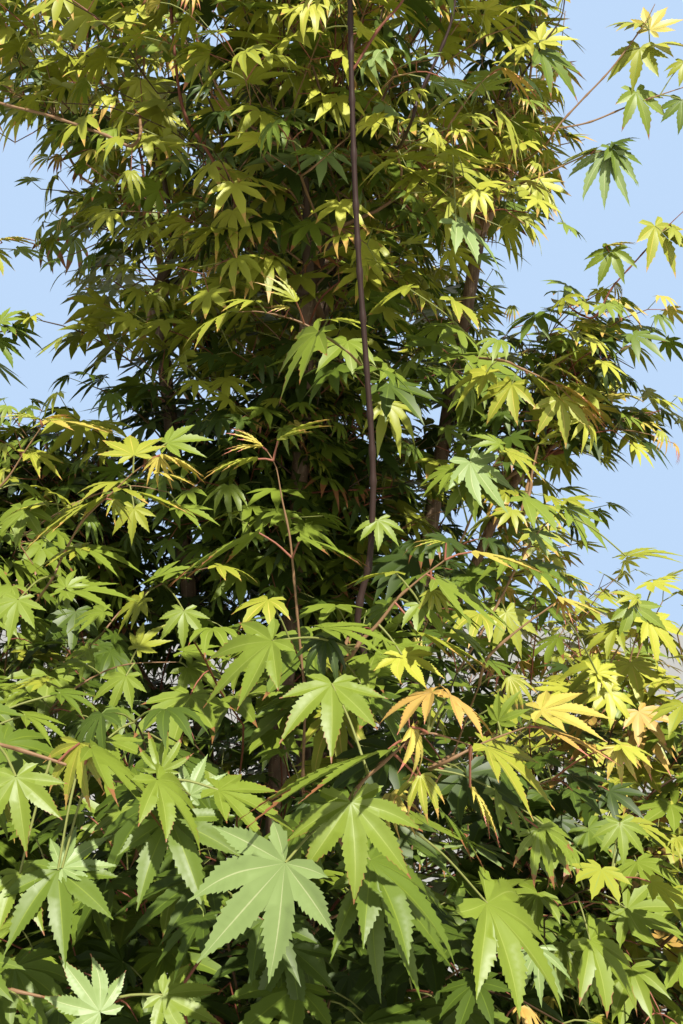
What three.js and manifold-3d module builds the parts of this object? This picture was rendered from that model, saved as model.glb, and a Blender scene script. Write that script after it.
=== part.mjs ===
// A young green japanese maple, whole and rooted in the ground: a short flared trunk that forks
// low into five stems, the boughs that leave the stems, and the masses of foliage they end in.
// Millimetres, +Z up, -Y is the side seen from the front.
// The origin is the centre of the flat cut under the trunk, at ground level.
import * as THREE from "three";
import { mergeVertices } from "three/addons/utils/BufferGeometryUtils.js";
import Module from "manifold-3d";

const wasm = await Module();
wasm.setup();

// Clearance between touching pieces, and the distance under which two vertices are one
const GAP = 0.3;
const MERGE_DISTANCE = 1e-3;

// Trunk: its diameter at the ground and below the fork, and how far it leans by the fork.
// Ridges and the swelling under the crotch are shares of its radius.
const TRUNK_FLARE_DIAMETER = 104;
const TRUNK_DIAMETER = 66;
const FORK_HEIGHT = 240;
const FLARE_HEIGHT = 60;
const TRUNK_LEAN = 14;
const ROOT_RIDGES = 5;
const RIDGE_DEPTH = 0.16;
const RIDGE_TURN = 0.7;
const CROTCH_LOBES = 3;
const CROTCH_SWELL = 0.12;
const CROTCH_START = 0.6;

// Stems and boughs: diameters where they leave the wood below and where they enter the foliage
const STEM_DIAMETER = 33;
const STEM_END_DIAMETER = 15;
const SKIRT_BOUGH_DIAMETER = 22;
const MID_BOUGH_DIAMETER = 16;
const BOUGH_END_DIAMETER = 10;
const KNEE_HEIGHT = 640;
const WAIST_HEIGHT = 1230;

// A limb is stouter at its foot, by this share of its radius, over this share of its length
const FOOT_SWELL = 0.25;
const FOOT_SHARE = 0.07;

// Where a stem starts inside the trunk and leaves its top, and how it wavers on its way up
const STEM_ROOT_DEPTH = 55;
const STEM_ROOT_SPREAD = 8;
const STEM_LEAVING_HEIGHT = 70;
const STEM_LEAVING_SPREAD = 0.32;
const STEM_WAVER = [-9, 4];

// How far a bough follows its stem, and runs outwards, before it turns towards its mass
const COLLAR_ALONG = 35;
const COLLAR_OUT = 45;

// Crown: heights of the tiers' centres, and their reach from the axis
const SKIRT_LEVEL = 945;
const SKIRT_REACH = 590;
const MID_LEVEL = 1410;
const UPPER_LEVEL = 1890;
const TOP_LEVEL = 2215;
const UPPER_REACH = 275;

// Facets of a limb and of a mass
const LIMB_SIDES = 8;
const STEM_RINGS = 12;
const BOUGH_RINGS = 7;
const TRUNK_SIDES = 25;
const TRUNK_RINGS = 8;
const RING_CROWDING = 1.4;
const MASS_DETAIL = 3;

// Lobes of a mass: how many waves ride over its surface from lobe to lobe, and how high they are
const LOBE_PITCHES = [2.2, 3.4, 4.7, 6.1, 7.6];
const LOBE_HEIGHT = 0.33;
const LOBE_BASE = 0.98;

// Skirt masses: half sizes, the dip of the outer end in degrees, and the droop of the rim
const SKIRT_HALF = [320, 315, 335];
const SKIRT_TILT = -10;
const SKIRT_DROOP = 70;

const WOOD = { color: 0x7b6650, roughness: 0.85, metalness: 0 };
const YOUNG_WOOD = { color: 0x96694a, roughness: 0.6, metalness: 0 };
const LEAVES = { color: 0x7d9a3c, roughness: 0.6, metalness: 0 };

const UP = new THREE.Vector3(0, 0, 1);

// Foliage masses. azimuth is in degrees from +X towards +Y, reach is the centre's distance from
// the axis, half holds the half sizes outwards, across and upwards, tilt lifts the outer end by
// so many degrees, and droop is how far the outer rim hangs down.
const COMPASS = [
  ["right", 0],
  ["back_right", 45],
  ["back", 90],
  ["back_left", 135],
  ["left", 180],
  ["front_left", 225],
  ["front", 270],
  ["front_right", 315],
];

// How far each skirt mass departs from the even ring: outwards, upwards and in its size
const SKIRT_OFFSETS = {
  right: { out: 10, up: -25, swell: 0.97 },
  back_right: { out: -25, up: 30, swell: 1.0 },
  back: { out: 5, up: -10, swell: 1.04 },
  back_left: { out: -15, up: 35, swell: 0.98 },
  left: { out: 15, up: 20, swell: 1.0 },
  front_left: { out: 0, up: 80, swell: 1.03 },
  front: { out: 10, up: 0, swell: 1.02 },
  front_right: { out: -20, up: -5, swell: 1.0 },
};

const MASSES = [
  ...COMPASS.map(([side, azimuth]) => {
    const { out, up, swell } = SKIRT_OFFSETS[side];
    return {
      name: `skirt_${side}`,
      azimuth,
      reach: SKIRT_REACH + out,
      level: SKIRT_LEVEL + up,
      half: SKIRT_HALF.map((size) => size * swell),
      tilt: SKIRT_TILT,
      droop: SKIRT_DROOP,
    };
  }),
  {
    name: "mid_core_front",
    azimuth: 270,
    reach: 120,
    level: MID_LEVEL,
    half: [190, 350, 250],
    tilt: 0,
    droop: 0,
  },
  {
    name: "mid_core_back",
    azimuth: 90,
    reach: 170,
    level: MID_LEVEL + 10,
    half: [240, 350, 260],
    tilt: 0,
    droop: 0,
  },
  {
    name: "mid_left",
    azimuth: 180,
    reach: 410,
    level: MID_LEVEL - 75,
    half: [185, 240, 145],
    tilt: -6,
    droop: 25,
  },
  {
    name: "mid_right",
    azimuth: 0,
    reach: 405,
    level: MID_LEVEL + 115,
    half: [170, 215, 115],
    tilt: 8,
    droop: 20,
  },
  {
    name: "upper_left",
    azimuth: 178,
    reach: UPPER_REACH - 45,
    level: UPPER_LEVEL + 5,
    half: [235, 290, 300],
    tilt: 0,
    droop: 30,
  },
  {
    name: "upper_right",
    azimuth: 2,
    reach: UPPER_REACH + 5,
    level: UPPER_LEVEL + 70,
    half: [265, 275, 235],
    tilt: 26,
    droop: 20,
  },
  {
    name: "upper_front",
    azimuth: 275,
    reach: UPPER_REACH + 15,
    level: UPPER_LEVEL - 100,
    half: [215, 300, 300],
    tilt: 0,
    droop: 40,
  },
  {
    name: "upper_back",
    azimuth: 92,
    reach: UPPER_REACH + 30,
    level: UPPER_LEVEL - 40,
    half: [235, 310, 320],
    tilt: 6,
    droop: 30,
  },
  {
    name: "top",
    azimuth: 60,
    reach: 25,
    level: TOP_LEVEL,
    half: [270, 265, 262],
    tilt: 0,
    droop: 0,
  },
];

// Stems: the azimuth they lean to, their distance from the axis at knee and waist height, and
// the mass they end in.
const STEMS = [
  { name: "stem_centre", azimuth: 320, knee: 28, waist: 34, into: "top" },
  { name: "stem_left", azimuth: 176, knee: 105, waist: 150, into: "upper_left" },
  { name: "stem_right", azimuth: 12, knee: 112, waist: 165, into: "upper_right" },
  { name: "stem_front", azimuth: 262, knee: 92, waist: 125, into: "upper_front" },
  { name: "stem_back", azimuth: 96, knee: 100, waist: 150, into: "upper_back" },
];

// Boughs: the stem they leave, how far along it, and the mass they end in. rise lifts the middle
// of the bough above the straight line, and a negative one lets it sag.
const SKIRT_BOUGH = { diameter: SKIRT_BOUGH_DIAMETER, rise: 55 };
const MID_BOUGH = { diameter: MID_BOUGH_DIAMETER, rise: 25 };
const BOUGHS = [
  { name: "bough_front", from: "stem_front", along: 0.09, into: "skirt_front", ...SKIRT_BOUGH },
  { name: "bough_front_right", from: "stem_front", along: 0.19, into: "skirt_front_right", ...SKIRT_BOUGH },
  { name: "bough_left", from: "stem_left", along: 0.08, into: "skirt_left", ...SKIRT_BOUGH },
  { name: "bough_front_left", from: "stem_left", along: 0.2, into: "skirt_front_left", ...SKIRT_BOUGH },
  { name: "bough_right", from: "stem_right", along: 0.1, into: "skirt_right", ...SKIRT_BOUGH },
  { name: "bough_back_right", from: "stem_right", along: 0.21, into: "skirt_back_right", ...SKIRT_BOUGH },
  { name: "bough_back", from: "stem_back", along: 0.085, into: "skirt_back", ...SKIRT_BOUGH },
  { name: "bough_back_left", from: "stem_back", along: 0.2, into: "skirt_back_left", ...SKIRT_BOUGH },
  { name: "bough_mid_left", from: "stem_left", along: 0.5, into: "mid_left", ...MID_BOUGH },
  { name: "bough_mid_right", from: "stem_right", along: 0.56, into: "mid_right", ...MID_BOUGH },
];

function radians(degrees) {
  return (degrees * Math.PI) / 180;
}

// The horizontal direction of an azimuth
function outward(azimuth) {
  return new THREE.Vector3(Math.cos(radians(azimuth)), Math.sin(radians(azimuth)), 0);
}

function pointAt(azimuth, reach, height) {
  return outward(azimuth).multiplyScalar(reach).setZ(height);
}

// A repeatable run of numbers from 0 to 1, by a multiplier and a prime modulus
const FIRST_SEED = 4001;
const SEED_STEP = 977;
const MULTIPLIER = 16807;
const MODULUS = 2147483647;

function numbersFrom(seed) {
  let state = seed;
  return () => {
    state = (state * MULTIPLIER) % MODULUS;
    return state / MODULUS;
  };
}

// Closed geometry to solid, and back
function toSolid(geometry) {
  const bare = geometry.clone();
  bare.deleteAttribute("normal");
  bare.deleteAttribute("uv");
  const merged = mergeVertices(bare, MERGE_DISTANCE);
  return new wasm.Manifold(
    new wasm.Mesh({
      numProp: 3,
      vertProperties: new Float32Array(merged.attributes.position.array),
      triVerts: new Uint32Array(merged.index.array),
    }),
  );
}

function toGeometry(solid) {
  const mesh = solid.getMesh();
  const geometry = new THREE.BufferGeometry();
  geometry.setAttribute("position", new THREE.BufferAttribute(mesh.vertProperties, mesh.numProp));
  geometry.setIndex(new THREE.BufferAttribute(mesh.triVerts, 1));
  geometry.computeVertexNormals();
  return geometry;
}

// A cut can leave a scrap on the far side of the cutting shape: only the main body is kept
function mainBody(solid) {
  return solid.decompose().reduce((a, b) => (a.volume() > b.volume() ? a : b));
}

// The trunk: level rings from the ground to the fork, ridged where the roots spread
function trunkSolid(extra) {
  const height = FORK_HEIGHT + extra;
  const geometry = new THREE.CylinderGeometry(1, 1, 1, TRUNK_SIDES, TRUNK_RINGS);
  const position = geometry.attributes.position;
  for (let i = 0; i < position.count; i++) {
    const rim = Math.hypot(position.getX(i), position.getZ(i));
    const angle = Math.atan2(-position.getZ(i), position.getX(i));
    const share = position.getY(i) + 0.5;
    const z = height * share ** RING_CROWDING;
    const flare = Math.exp(-z / FLARE_HEIGHT);
    const nearCrotch = Math.max(0, z / FORK_HEIGHT - CROTCH_START);
    const crotch = CROTCH_SWELL * nearCrotch * (1 + Math.cos(CROTCH_LOBES * angle));
    const ridges = 1 + RIDGE_DEPTH * flare * Math.cos(ROOT_RIDGES * angle + RIDGE_TURN);
    const plain = (TRUNK_DIAMETER + (TRUNK_FLARE_DIAMETER - TRUNK_DIAMETER) * flare) / 2;
    const radius = rim * (plain * ridges * (1 + crotch) + extra);
    const lean = TRUNK_LEAN * (z / FORK_HEIGHT) ** 2;
    position.setXYZ(i, lean + radius * Math.cos(angle), radius * Math.sin(angle), z);
  }
  return toSolid(geometry);
}

// A limb: a round tapering rod bent along its curve, a little stouter at its foot
function limbSolid(limb, extra) {
  const geometry = new THREE.CylinderGeometry(1, 1, 1, LIMB_SIDES, limb.rings);
  const frames = limb.curve.computeFrenetFrames(limb.rings, false);
  const position = geometry.attributes.position;
  for (let i = 0; i < position.count; i++) {
    const share = position.getY(i) + 0.5;
    const ring = Math.round(share * limb.rings);
    const taper = THREE.MathUtils.lerp(limb.diameter, limb.endDiameter, share) / 2;
    const radius = taper * (1 + FOOT_SWELL * Math.exp(-share / FOOT_SHARE)) + extra;
    const moved = limb.curve
      .getPointAt(ring / limb.rings)
      .addScaledVector(frames.normals[ring], position.getX(i) * radius)
      .addScaledVector(frames.binormals[ring], -position.getZ(i) * radius);
    position.setXYZ(i, moved.x, moved.y, moved.z);
  }
  return toSolid(geometry);
}

function stemCurve(stem, target) {
  const { azimuth, knee, waist } = stem;
  const crotch = new THREE.Vector3(TRUNK_LEAN, 0, 0);
  return new THREE.CatmullRomCurve3([
    pointAt(azimuth, STEM_ROOT_SPREAD, FORK_HEIGHT - STEM_ROOT_DEPTH).add(crotch),
    pointAt(azimuth, knee * STEM_LEAVING_SPREAD, FORK_HEIGHT + STEM_LEAVING_HEIGHT).add(crotch),
    pointAt(azimuth, knee, KNEE_HEIGHT),
    pointAt(azimuth + STEM_WAVER[0], (knee + waist) / 2, (KNEE_HEIGHT + WAIST_HEIGHT) / 2),
    pointAt(azimuth + STEM_WAVER[1], waist, WAIST_HEIGHT),
    target,
  ]);
}

function boughCurve(bough, foot, direction, target) {
  const away = outward(THREE.MathUtils.radToDeg(Math.atan2(target.y, target.x)));
  const collar = foot
    .clone()
    .addScaledVector(direction, COLLAR_ALONG)
    .addScaledVector(away, COLLAR_OUT);
  const middle = foot.clone().lerp(target, 0.5).addScaledVector(UP, bough.rise);
  return new THREE.CatmullRomCurve3([foot, collar, middle, target]);
}

// A mass's own axes (outwards, across, upwards) and its centre
function placed(mass) {
  const out = outward(mass.azimuth).applyAxisAngle(outward(mass.azimuth + 90), -radians(mass.tilt));
  const across = outward(mass.azimuth + 90);
  const up = out.clone().cross(across);
  return { ...mass, centre: pointAt(mass.azimuth, mass.reach, mass.level), axes: [out, across, up] };
}

// How far the plain ellipsoid of a mass reaches along a direction
function support(mass, direction) {
  return Math.hypot(...mass.axes.map((axis, k) => mass.half[k] * axis.dot(direction)));
}

// The planes at which a mass meets its neighbours, each as a direction and a distance
function meetingPlanes(mass, others) {
  return others
    .filter((other) => other !== mass)
    .map((other) => {
      const direction = other.centre.clone().sub(mass.centre);
      const distance = direction.length();
      direction.normalize();
      const share = support(mass, direction) / (support(mass, direction) + support(other, direction));
      return { direction, distance: share * distance - GAP / 2 };
    });
}

// A mass swells from its centre to an uneven, lobed surface, and stops at its neighbours
function massSolid(mass, index, planes, extra) {
  const next = numbersFrom(FIRST_SEED + SEED_STEP * index);
  const waves = LOBE_PITCHES.map((pitch) => ({
    along: new THREE.Vector3(next() - 0.5, next() - 0.5, next() - 0.5).normalize(),
    pitch,
    phase: 2 * Math.PI * next(),
    height: LOBE_HEIGHT / pitch,
  }));
  const geometry = new THREE.IcosahedronGeometry(1, MASS_DETAIL);
  const position = geometry.attributes.position;
  const direction = new THREE.Vector3();
  for (let i = 0; i < position.count; i++) {
    direction.fromBufferAttribute(position, i).normalize();
    let lobes = LOBE_BASE;
    for (const wave of waves) {
      lobes += wave.height * Math.sin(wave.pitch * direction.dot(wave.along) + wave.phase);
    }
    const offset = new THREE.Vector3();
    mass.axes.forEach((axis, k) => {
      offset.addScaledVector(axis, mass.half[k] * lobes * direction.getComponent(k));
    });
    offset.z -= mass.droop * Math.max(0, direction.x) ** 2;
    for (const plane of planes) {
      const over = offset.dot(plane.direction) / plane.distance;
      if (over > 1) offset.divideScalar(over);
    }
    offset.setLength(offset.length() + extra).add(mass.centre);
    position.setXYZ(i, offset.x, offset.y, offset.z);
  }
  return toSolid(geometry);
}

const masses = MASSES.map(placed);
for (const [index, mass] of masses.entries()) {
  const planes = meetingPlanes(mass, masses);
  mass.solid = massSolid(mass, index, planes, 0);
  mass.grown = massSolid(mass, index, planes, GAP);
}
const massNamed = Object.fromEntries(masses.map((mass) => [mass.name, mass]));

const trunk = { name: "trunk", solid: trunkSolid(0), grown: trunkSolid(GAP) };

const stems = STEMS.map((stem) => ({
  ...stem,
  diameter: STEM_DIAMETER,
  endDiameter: STEM_END_DIAMETER,
  rings: STEM_RINGS,
  curve: stemCurve(stem, massNamed[stem.into].centre),
}));
const stemNamed = Object.fromEntries(stems.map((stem) => [stem.name, stem]));

const boughs = BOUGHS.map((bough) => {
  const curve = stemNamed[bough.from].curve;
  const foot = curve.getPointAt(bough.along);
  const target = massNamed[bough.into].centre;
  return {
    ...bough,
    endDiameter: BOUGH_END_DIAMETER,
    rings: BOUGH_RINGS,
    curve: boughCurve(bough, foot, curve.getTangentAt(bough.along), target),
  };
});

// Wood is fitted in the order it grows: each limb ends flush against the wood it leaves and
// against the mass it enters, and the other masses are cut away round it.
const wood = [trunk];
for (const limb of [...stems, ...boughs]) {
  const own = massNamed[limb.into];
  let solid = limbSolid(limb, 0).subtract(own.grown);
  for (const earlier of wood) solid = solid.subtract(earlier.grown);
  limb.solid = mainBody(solid);
  limb.grown = limbSolid(limb, GAP);
  for (const mass of masses) {
    if (mass !== own) mass.solid = mainBody(mass.solid.subtract(limb.grown));
  }
  wood.push(limb);
}

const tree = new THREE.Group();

function addMesh(piece, material) {
  const mesh = new THREE.Mesh(toGeometry(piece.solid), new THREE.MeshStandardMaterial(material));
  mesh.name = piece.name;
  tree.add(mesh);
}

addMesh(trunk, WOOD);
for (const stem of stems) addMesh(stem, WOOD);
for (const bough of boughs) addMesh(bough, YOUNG_WOOD);
for (const mass of masses) addMesh(mass, LEAVES);

export default tree;
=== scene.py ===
# %% [markdown]
# # A young japanese maple, seen from within its own foliage
# The tree has one short trunk, five upright stems, ten boughs and seventeen clouds of leaves.
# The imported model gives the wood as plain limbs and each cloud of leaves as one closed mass.
# Here the limbs get their bark, and the masses give way to twigs and leaves that grow inside them.
# Blender could scatter leaves with particles, but those would be lost when the model is handed on,
# so everything is plain mesh, and each kind of thing is joined into one piece per mass.

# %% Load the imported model
import math

import bmesh
import bpy
import numpy as np
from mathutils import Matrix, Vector, noise
from mathutils.bvhtree import BVHTree


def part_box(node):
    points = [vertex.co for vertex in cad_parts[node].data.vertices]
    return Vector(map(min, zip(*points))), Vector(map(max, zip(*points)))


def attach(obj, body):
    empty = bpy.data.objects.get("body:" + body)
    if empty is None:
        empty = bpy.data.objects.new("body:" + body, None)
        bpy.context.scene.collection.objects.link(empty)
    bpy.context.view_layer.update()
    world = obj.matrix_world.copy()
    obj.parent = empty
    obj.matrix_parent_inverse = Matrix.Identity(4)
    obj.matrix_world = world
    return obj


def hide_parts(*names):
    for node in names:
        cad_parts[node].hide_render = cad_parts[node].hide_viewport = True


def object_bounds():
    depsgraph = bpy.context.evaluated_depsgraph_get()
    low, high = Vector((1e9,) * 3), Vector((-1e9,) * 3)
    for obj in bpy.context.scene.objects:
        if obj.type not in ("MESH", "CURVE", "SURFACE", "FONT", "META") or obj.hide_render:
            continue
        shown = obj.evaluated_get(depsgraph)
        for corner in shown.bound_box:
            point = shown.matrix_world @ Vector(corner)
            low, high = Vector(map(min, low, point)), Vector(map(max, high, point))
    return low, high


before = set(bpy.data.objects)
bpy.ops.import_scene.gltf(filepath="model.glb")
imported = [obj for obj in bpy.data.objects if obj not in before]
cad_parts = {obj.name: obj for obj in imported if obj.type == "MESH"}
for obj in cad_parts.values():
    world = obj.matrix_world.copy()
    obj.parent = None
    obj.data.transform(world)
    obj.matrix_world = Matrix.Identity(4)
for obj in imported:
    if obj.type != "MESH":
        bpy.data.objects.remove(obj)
cad_low, cad_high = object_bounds()
scene = bpy.context.scene
print("CAD box", [round(c, 3) for c in cad_low], [round(c, 3) for c in cad_high])

# %% [markdown]
# ## The camera comes first
# The photograph was taken from the edge of the low skirt, level with its top, looking slightly up.
# Listed leaves are named by where they show in the picture and how far away they are,
# so the camera is also a way of turning a picture point and a distance into a place in the tree.

# %% Camera
PHOTO_WIDTH = 683
PHOTO_HEIGHT = 1024
LENS_MM = 40.0
SENSOR_MM = 36.0
FOCAL_PX = PHOTO_HEIGHT * LENS_MM / SENSOR_MM
NEAREST = 0.05
PITCH = math.radians(3.4)
EYE = Vector((0.05, -1.5, 1.25))
RIGHT = Vector((1, 0, 0))
FORWARD = Vector((0, math.cos(PITCH), math.sin(PITCH)))
ABOVE = Vector((0, -math.sin(PITCH), math.cos(PITCH)))


def put_in_scene(name, data):
    """A new object in the scene, at the origin."""
    item = bpy.data.objects.new(name, data)
    scene.collection.objects.link(item)
    return item


def at_pixel(across, down, depth):
    """The place that shows at a point of the photograph, a depth in metres in front of the eye."""
    right = (across - PHOTO_WIDTH / 2) / FOCAL_PX * depth
    above = (PHOTO_HEIGHT / 2 - down) / FOCAL_PX * depth
    return np.array(EYE + RIGHT * right + ABOVE * above + FORWARD * depth)


def to_pixels(places):
    """Where places show in the photograph, and how deep they lie, as three arrays."""
    offset = places - np.array(EYE)
    depth = offset @ np.array(FORWARD)
    safe = np.where(np.abs(depth) < NEAREST, NEAREST, depth)
    across = PHOTO_WIDTH / 2 + FOCAL_PX * (offset @ np.array(RIGHT)) / safe
    down = PHOTO_HEIGHT / 2 - FOCAL_PX * (offset @ np.array(ABOVE)) / safe
    return across, down, depth


camera = put_in_scene("camera", bpy.data.cameras.new("camera"))
camera.data.lens = LENS_MM
camera.data.sensor_width = SENSOR_MM
camera.data.clip_start = NEAREST
camera.location = EYE
camera.rotation_euler = (math.radians(90) + PITCH, 0, 0)
scene.camera = camera
print("the middle of the picture, 1 m away:", at_pixel(341.5, 512, 1.0).round(3))

# %% [markdown]
# ## Bark
# Young japanese maple bark is smooth and thin. On the trunk it is grey-brown with pale upright
# streaks and small corky dots; the stems are browner, and the boughs lean to red.
# One node group draws streaks, dots and blotches, and each bark material gives it its own colours.

# %% The bark pattern, shared by all the wood
MIX_MASK, MIX_FIRST, MIX_SECOND, MIX_RESULT = 0, 6, 7, 2
STREAK_STRETCH = (1.0, 1.0, 0.09)
DOT_SQUASH = (1.0, 1.0, 2.4)
STREAKS_PER_M = 160.0
BLOTCHES_PER_M = 14.0
DOTS_PER_M = 95.0


def add_node(tree, kind, inputs, **settings):
    """A shader node with its settings; each input gets a value, or a link if that is a socket."""
    node = tree.nodes.new("ShaderNode" + kind)
    for label, value in settings.items():
        setattr(node, label, value)
    for label, value in inputs.items():
        if isinstance(value, bpy.types.NodeSocket):
            tree.links.new(value, node.inputs[label])
        else:
            node.inputs[label].default_value = value
    return node


def bark_pattern():
    """Upright streaks, corky dots and soft blotches over object coordinates."""
    tree = bpy.data.node_groups.new("bark pattern", "ShaderNodeTree")
    for side, label, kind in (
        ("INPUT", "Ground", "Color"), ("INPUT", "Streak", "Color"), ("INPUT", "Dot", "Color"),
        ("INPUT", "Scale", "Float"), ("OUTPUT", "Color", "Color"),
        ("OUTPUT", "Roughness", "Float"), ("OUTPUT", "Height", "Float"),
    ):
        tree.interface.new_socket(label, in_out=side, socket_type="NodeSocket" + kind)
    given = tree.nodes.new("NodeGroupInput").outputs
    place = add_node(tree, "TexCoord", {}).outputs["Object"]
    sized = {0: place, "Scale": given["Scale"]}
    sized = add_node(tree, "VectorMath", sized, operation="SCALE").outputs[0]

    def noise_over(coordinates, scale, detail):
        spec = {"Vector": coordinates, "Scale": scale, "Detail": detail}
        return add_node(tree, "TexNoise", spec).outputs["Fac"]

    def stretched(scale):
        return add_node(tree, "Mapping", {"Vector": sized, "Scale": scale}).outputs[0]

    def ranged(value, first, last, change):
        spec = {"Value": value, change + " Min": first, change + " Max": last}
        return add_node(tree, "MapRange", spec).outputs[0]

    def mixed(mask, first, second):
        spec = {MIX_MASK: mask, MIX_FIRST: first, MIX_SECOND: second}
        return add_node(tree, "Mix", spec, data_type="RGBA").outputs[MIX_RESULT]

    streaks = noise_over(stretched(STREAK_STRETCH), STREAKS_PER_M, 4.0)
    blotches = noise_over(sized, BLOTCHES_PER_M, 3.0)
    cells = {"Vector": stretched(DOT_SQUASH), "Scale": DOTS_PER_M}
    cells = add_node(tree, "TexVoronoi", cells).outputs["Distance"]
    dots = ranged(cells, 0.2, 0.1, "From")
    streaked = mixed(ranged(streaks, 0.5, 0.68, "From"), given["Ground"], given["Streak"])
    shaded = {0: mixed(dots, streaked, given["Dot"]), "Scale": ranged(blotches, 0.62, 1.3, "To")}
    shaded = add_node(tree, "VectorMath", shaded, operation="SCALE").outputs[0]
    raised = add_node(tree, "Math", {0: streaks, 1: dots}, operation="ADD").outputs[0]
    result = tree.nodes.new("NodeGroupOutput").inputs
    tree.links.new(shaded, result["Color"])
    tree.links.new(ranged(streaks, 0.5, 0.85, "To"), result["Roughness"])
    tree.links.new(raised, result["Height"])
    return tree


bark_group = bark_pattern()
print("bark pattern has", len(bark_group.nodes), "nodes")

# %% Bark materials
BUMP = {"Strength": 0.35, "Distance": 0.0008}


def new_material(name, settings):
    """A material with values set on its surface shader, and that shader."""
    material = bpy.data.materials.new(name)
    material.use_nodes = True
    surface = material.node_tree.nodes["Principled BSDF"]
    for label, value in settings.items():
        surface.inputs[label].default_value = value
    return material, surface


def bark_material(name, scale, *colours):
    """Bark in its own ground, streak and dot colours, with the pattern's relief as bump."""
    material, surface = new_material(name, {})
    tree = material.node_tree
    given = {label: (*c, 1) for label, c in zip(("Ground", "Streak", "Dot"), colours)}
    pattern = add_node(tree, "Group", {**given, "Scale": scale}, node_tree=bark_group).outputs
    bump = add_node(tree, "Bump", {"Height": pattern["Height"], **BUMP})
    tree.links.new(pattern["Color"], surface.inputs["Base Color"])
    tree.links.new(pattern["Roughness"], surface.inputs["Roughness"])
    tree.links.new(bump.outputs[0], surface.inputs["Normal"])
    return material


trunk_bark = bark_material("trunk_bark", 1.0, (0.165, 0.112, 0.075), (0.32, 0.25, 0.175),
                           (0.40, 0.32, 0.23))
stem_bark = bark_material("stem_bark", 1.6, (0.17, 0.10, 0.06), (0.32, 0.22, 0.14),
                          (0.40, 0.30, 0.20))
bough_bark = bark_material("bough_bark", 2.0, (0.21, 0.11, 0.06), (0.36, 0.22, 0.13),
                           (0.42, 0.28, 0.18))
print("bark materials:", trunk_bark.name, stem_bark.name, bough_bark.name)

# %% [markdown]
# ## Leaf, petiole and twig colours
# In the photograph the crown is lime above, mid green in the middle, and pale and glossy below,
# and the youngest leaves are yellow to coral with orange tips. A pattern over a joined piece of
# thousands of leaves would be muddled, so each colour is a plain one, dealt out spray by spray.
# Some of these colours are painted light: the deep and shade greens dealt inside the crown are painted
# shade, the bright and lime greens high up and on the sunny side are painted sunlight glowing through
# the leaves, and the pale greens below are a painted sheen.

# %% Plain colours
LEAF_COLOURS = {
    # deep and shade: dark greens, dealt to covered shoots inside the crown as painted shade
    "deep": (0.042, 0.072, 0.008), "shade": (0.072, 0.115, 0.011), "mid": (0.125, 0.185, 0.018),
    # lime where it is dealt high up and on the sunny side, and bright below, are painted sunlight
    # glowing through the leaves
    "fresh": (0.195, 0.260, 0.026), "lime": (0.320, 0.345, 0.034),
    "bright": (0.440, 0.450, 0.050), "pale": (0.245, 0.335, 0.105),
    "yellow": (0.540, 0.450, 0.085), "amber": (0.560, 0.350, 0.085),
    "coral": (0.600, 0.210, 0.140), "rust": (0.300, 0.120, 0.045),
    # pale and pale_vein are a painted sheen: the glossy reflection of the sky on low leaves, put into
    # their colour
    "vein": (0.270, 0.330, 0.060), "pale_vein": (0.420, 0.470, 0.220),
}
TWIG_COLOURS = {
    "old_twig": (0.095, 0.055, 0.032), "tan_twig": (0.300, 0.170, 0.085),
    # dark_twig is a dark red-brown, darkened further as painted shade, for the leader and the twigs seen
    # dark against the light
    "red_twig": (0.220, 0.070, 0.038), "dark_twig": (0.045, 0.022, 0.016),
    "green_stalk": (0.260, 0.280, 0.075), "red_stalk": (0.360, 0.130, 0.080),
}
LEAF_GLOSS = {"Roughness": 0.49, "Specular IOR Level": 0.46, "Coat Weight": 0.05}
TWIG_GLOSS = {"Roughness": 0.55, "Specular IOR Level": 0.4}


def plain_material(name, colour, gloss):
    """One colour and one gloss, set on the shader itself."""
    return new_material(name, {"Base Color": (*colour, 1), "Coat Roughness": 0.3, **gloss})[0]


leaf_materials = [plain_material("leaf_" + n, c, LEAF_GLOSS) for n, c in LEAF_COLOURS.items()]
twig_materials = [plain_material(n, c, TWIG_GLOSS) for n, c in TWIG_COLOURS.items()]
LEAF = {name: index for index, name in enumerate(LEAF_COLOURS)}
TWIG = {name: index for index, name in enumerate(TWIG_COLOURS)}
print(len(leaf_materials), "leaf colours and", len(twig_materials), "twig colours")

# %% [markdown]
# ## The limbs
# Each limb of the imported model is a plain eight-sided tube. It could be smoothed and displaced,
# but a new skin gives cleaner bark: the old limb is cut across at even steps with bisect_plane,
# the cuts give its middle line and thickness, and a circle is extruded along that line.

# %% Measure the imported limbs
WELD = 1e-6
END_CUT = 0.03
TRUNK_CUTS, STEM_CUTS, BOUGH_CUTS = 9, 16, 9
UPWARD = np.array([0.0, 0.0, 1.0])
STEM_NAMES = [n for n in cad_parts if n.startswith("stem_")]
BOUGH_NAMES = [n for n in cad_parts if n.startswith("bough_")]


def merged_copy(node):
    """A bmesh copy of a CAD node with its loose triangles merged."""
    bm = bmesh.new()
    bm.from_mesh(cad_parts[node].data)
    bmesh.ops.remove_doubles(bm, verts=bm.verts, dist=WELD)
    return bm


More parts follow.
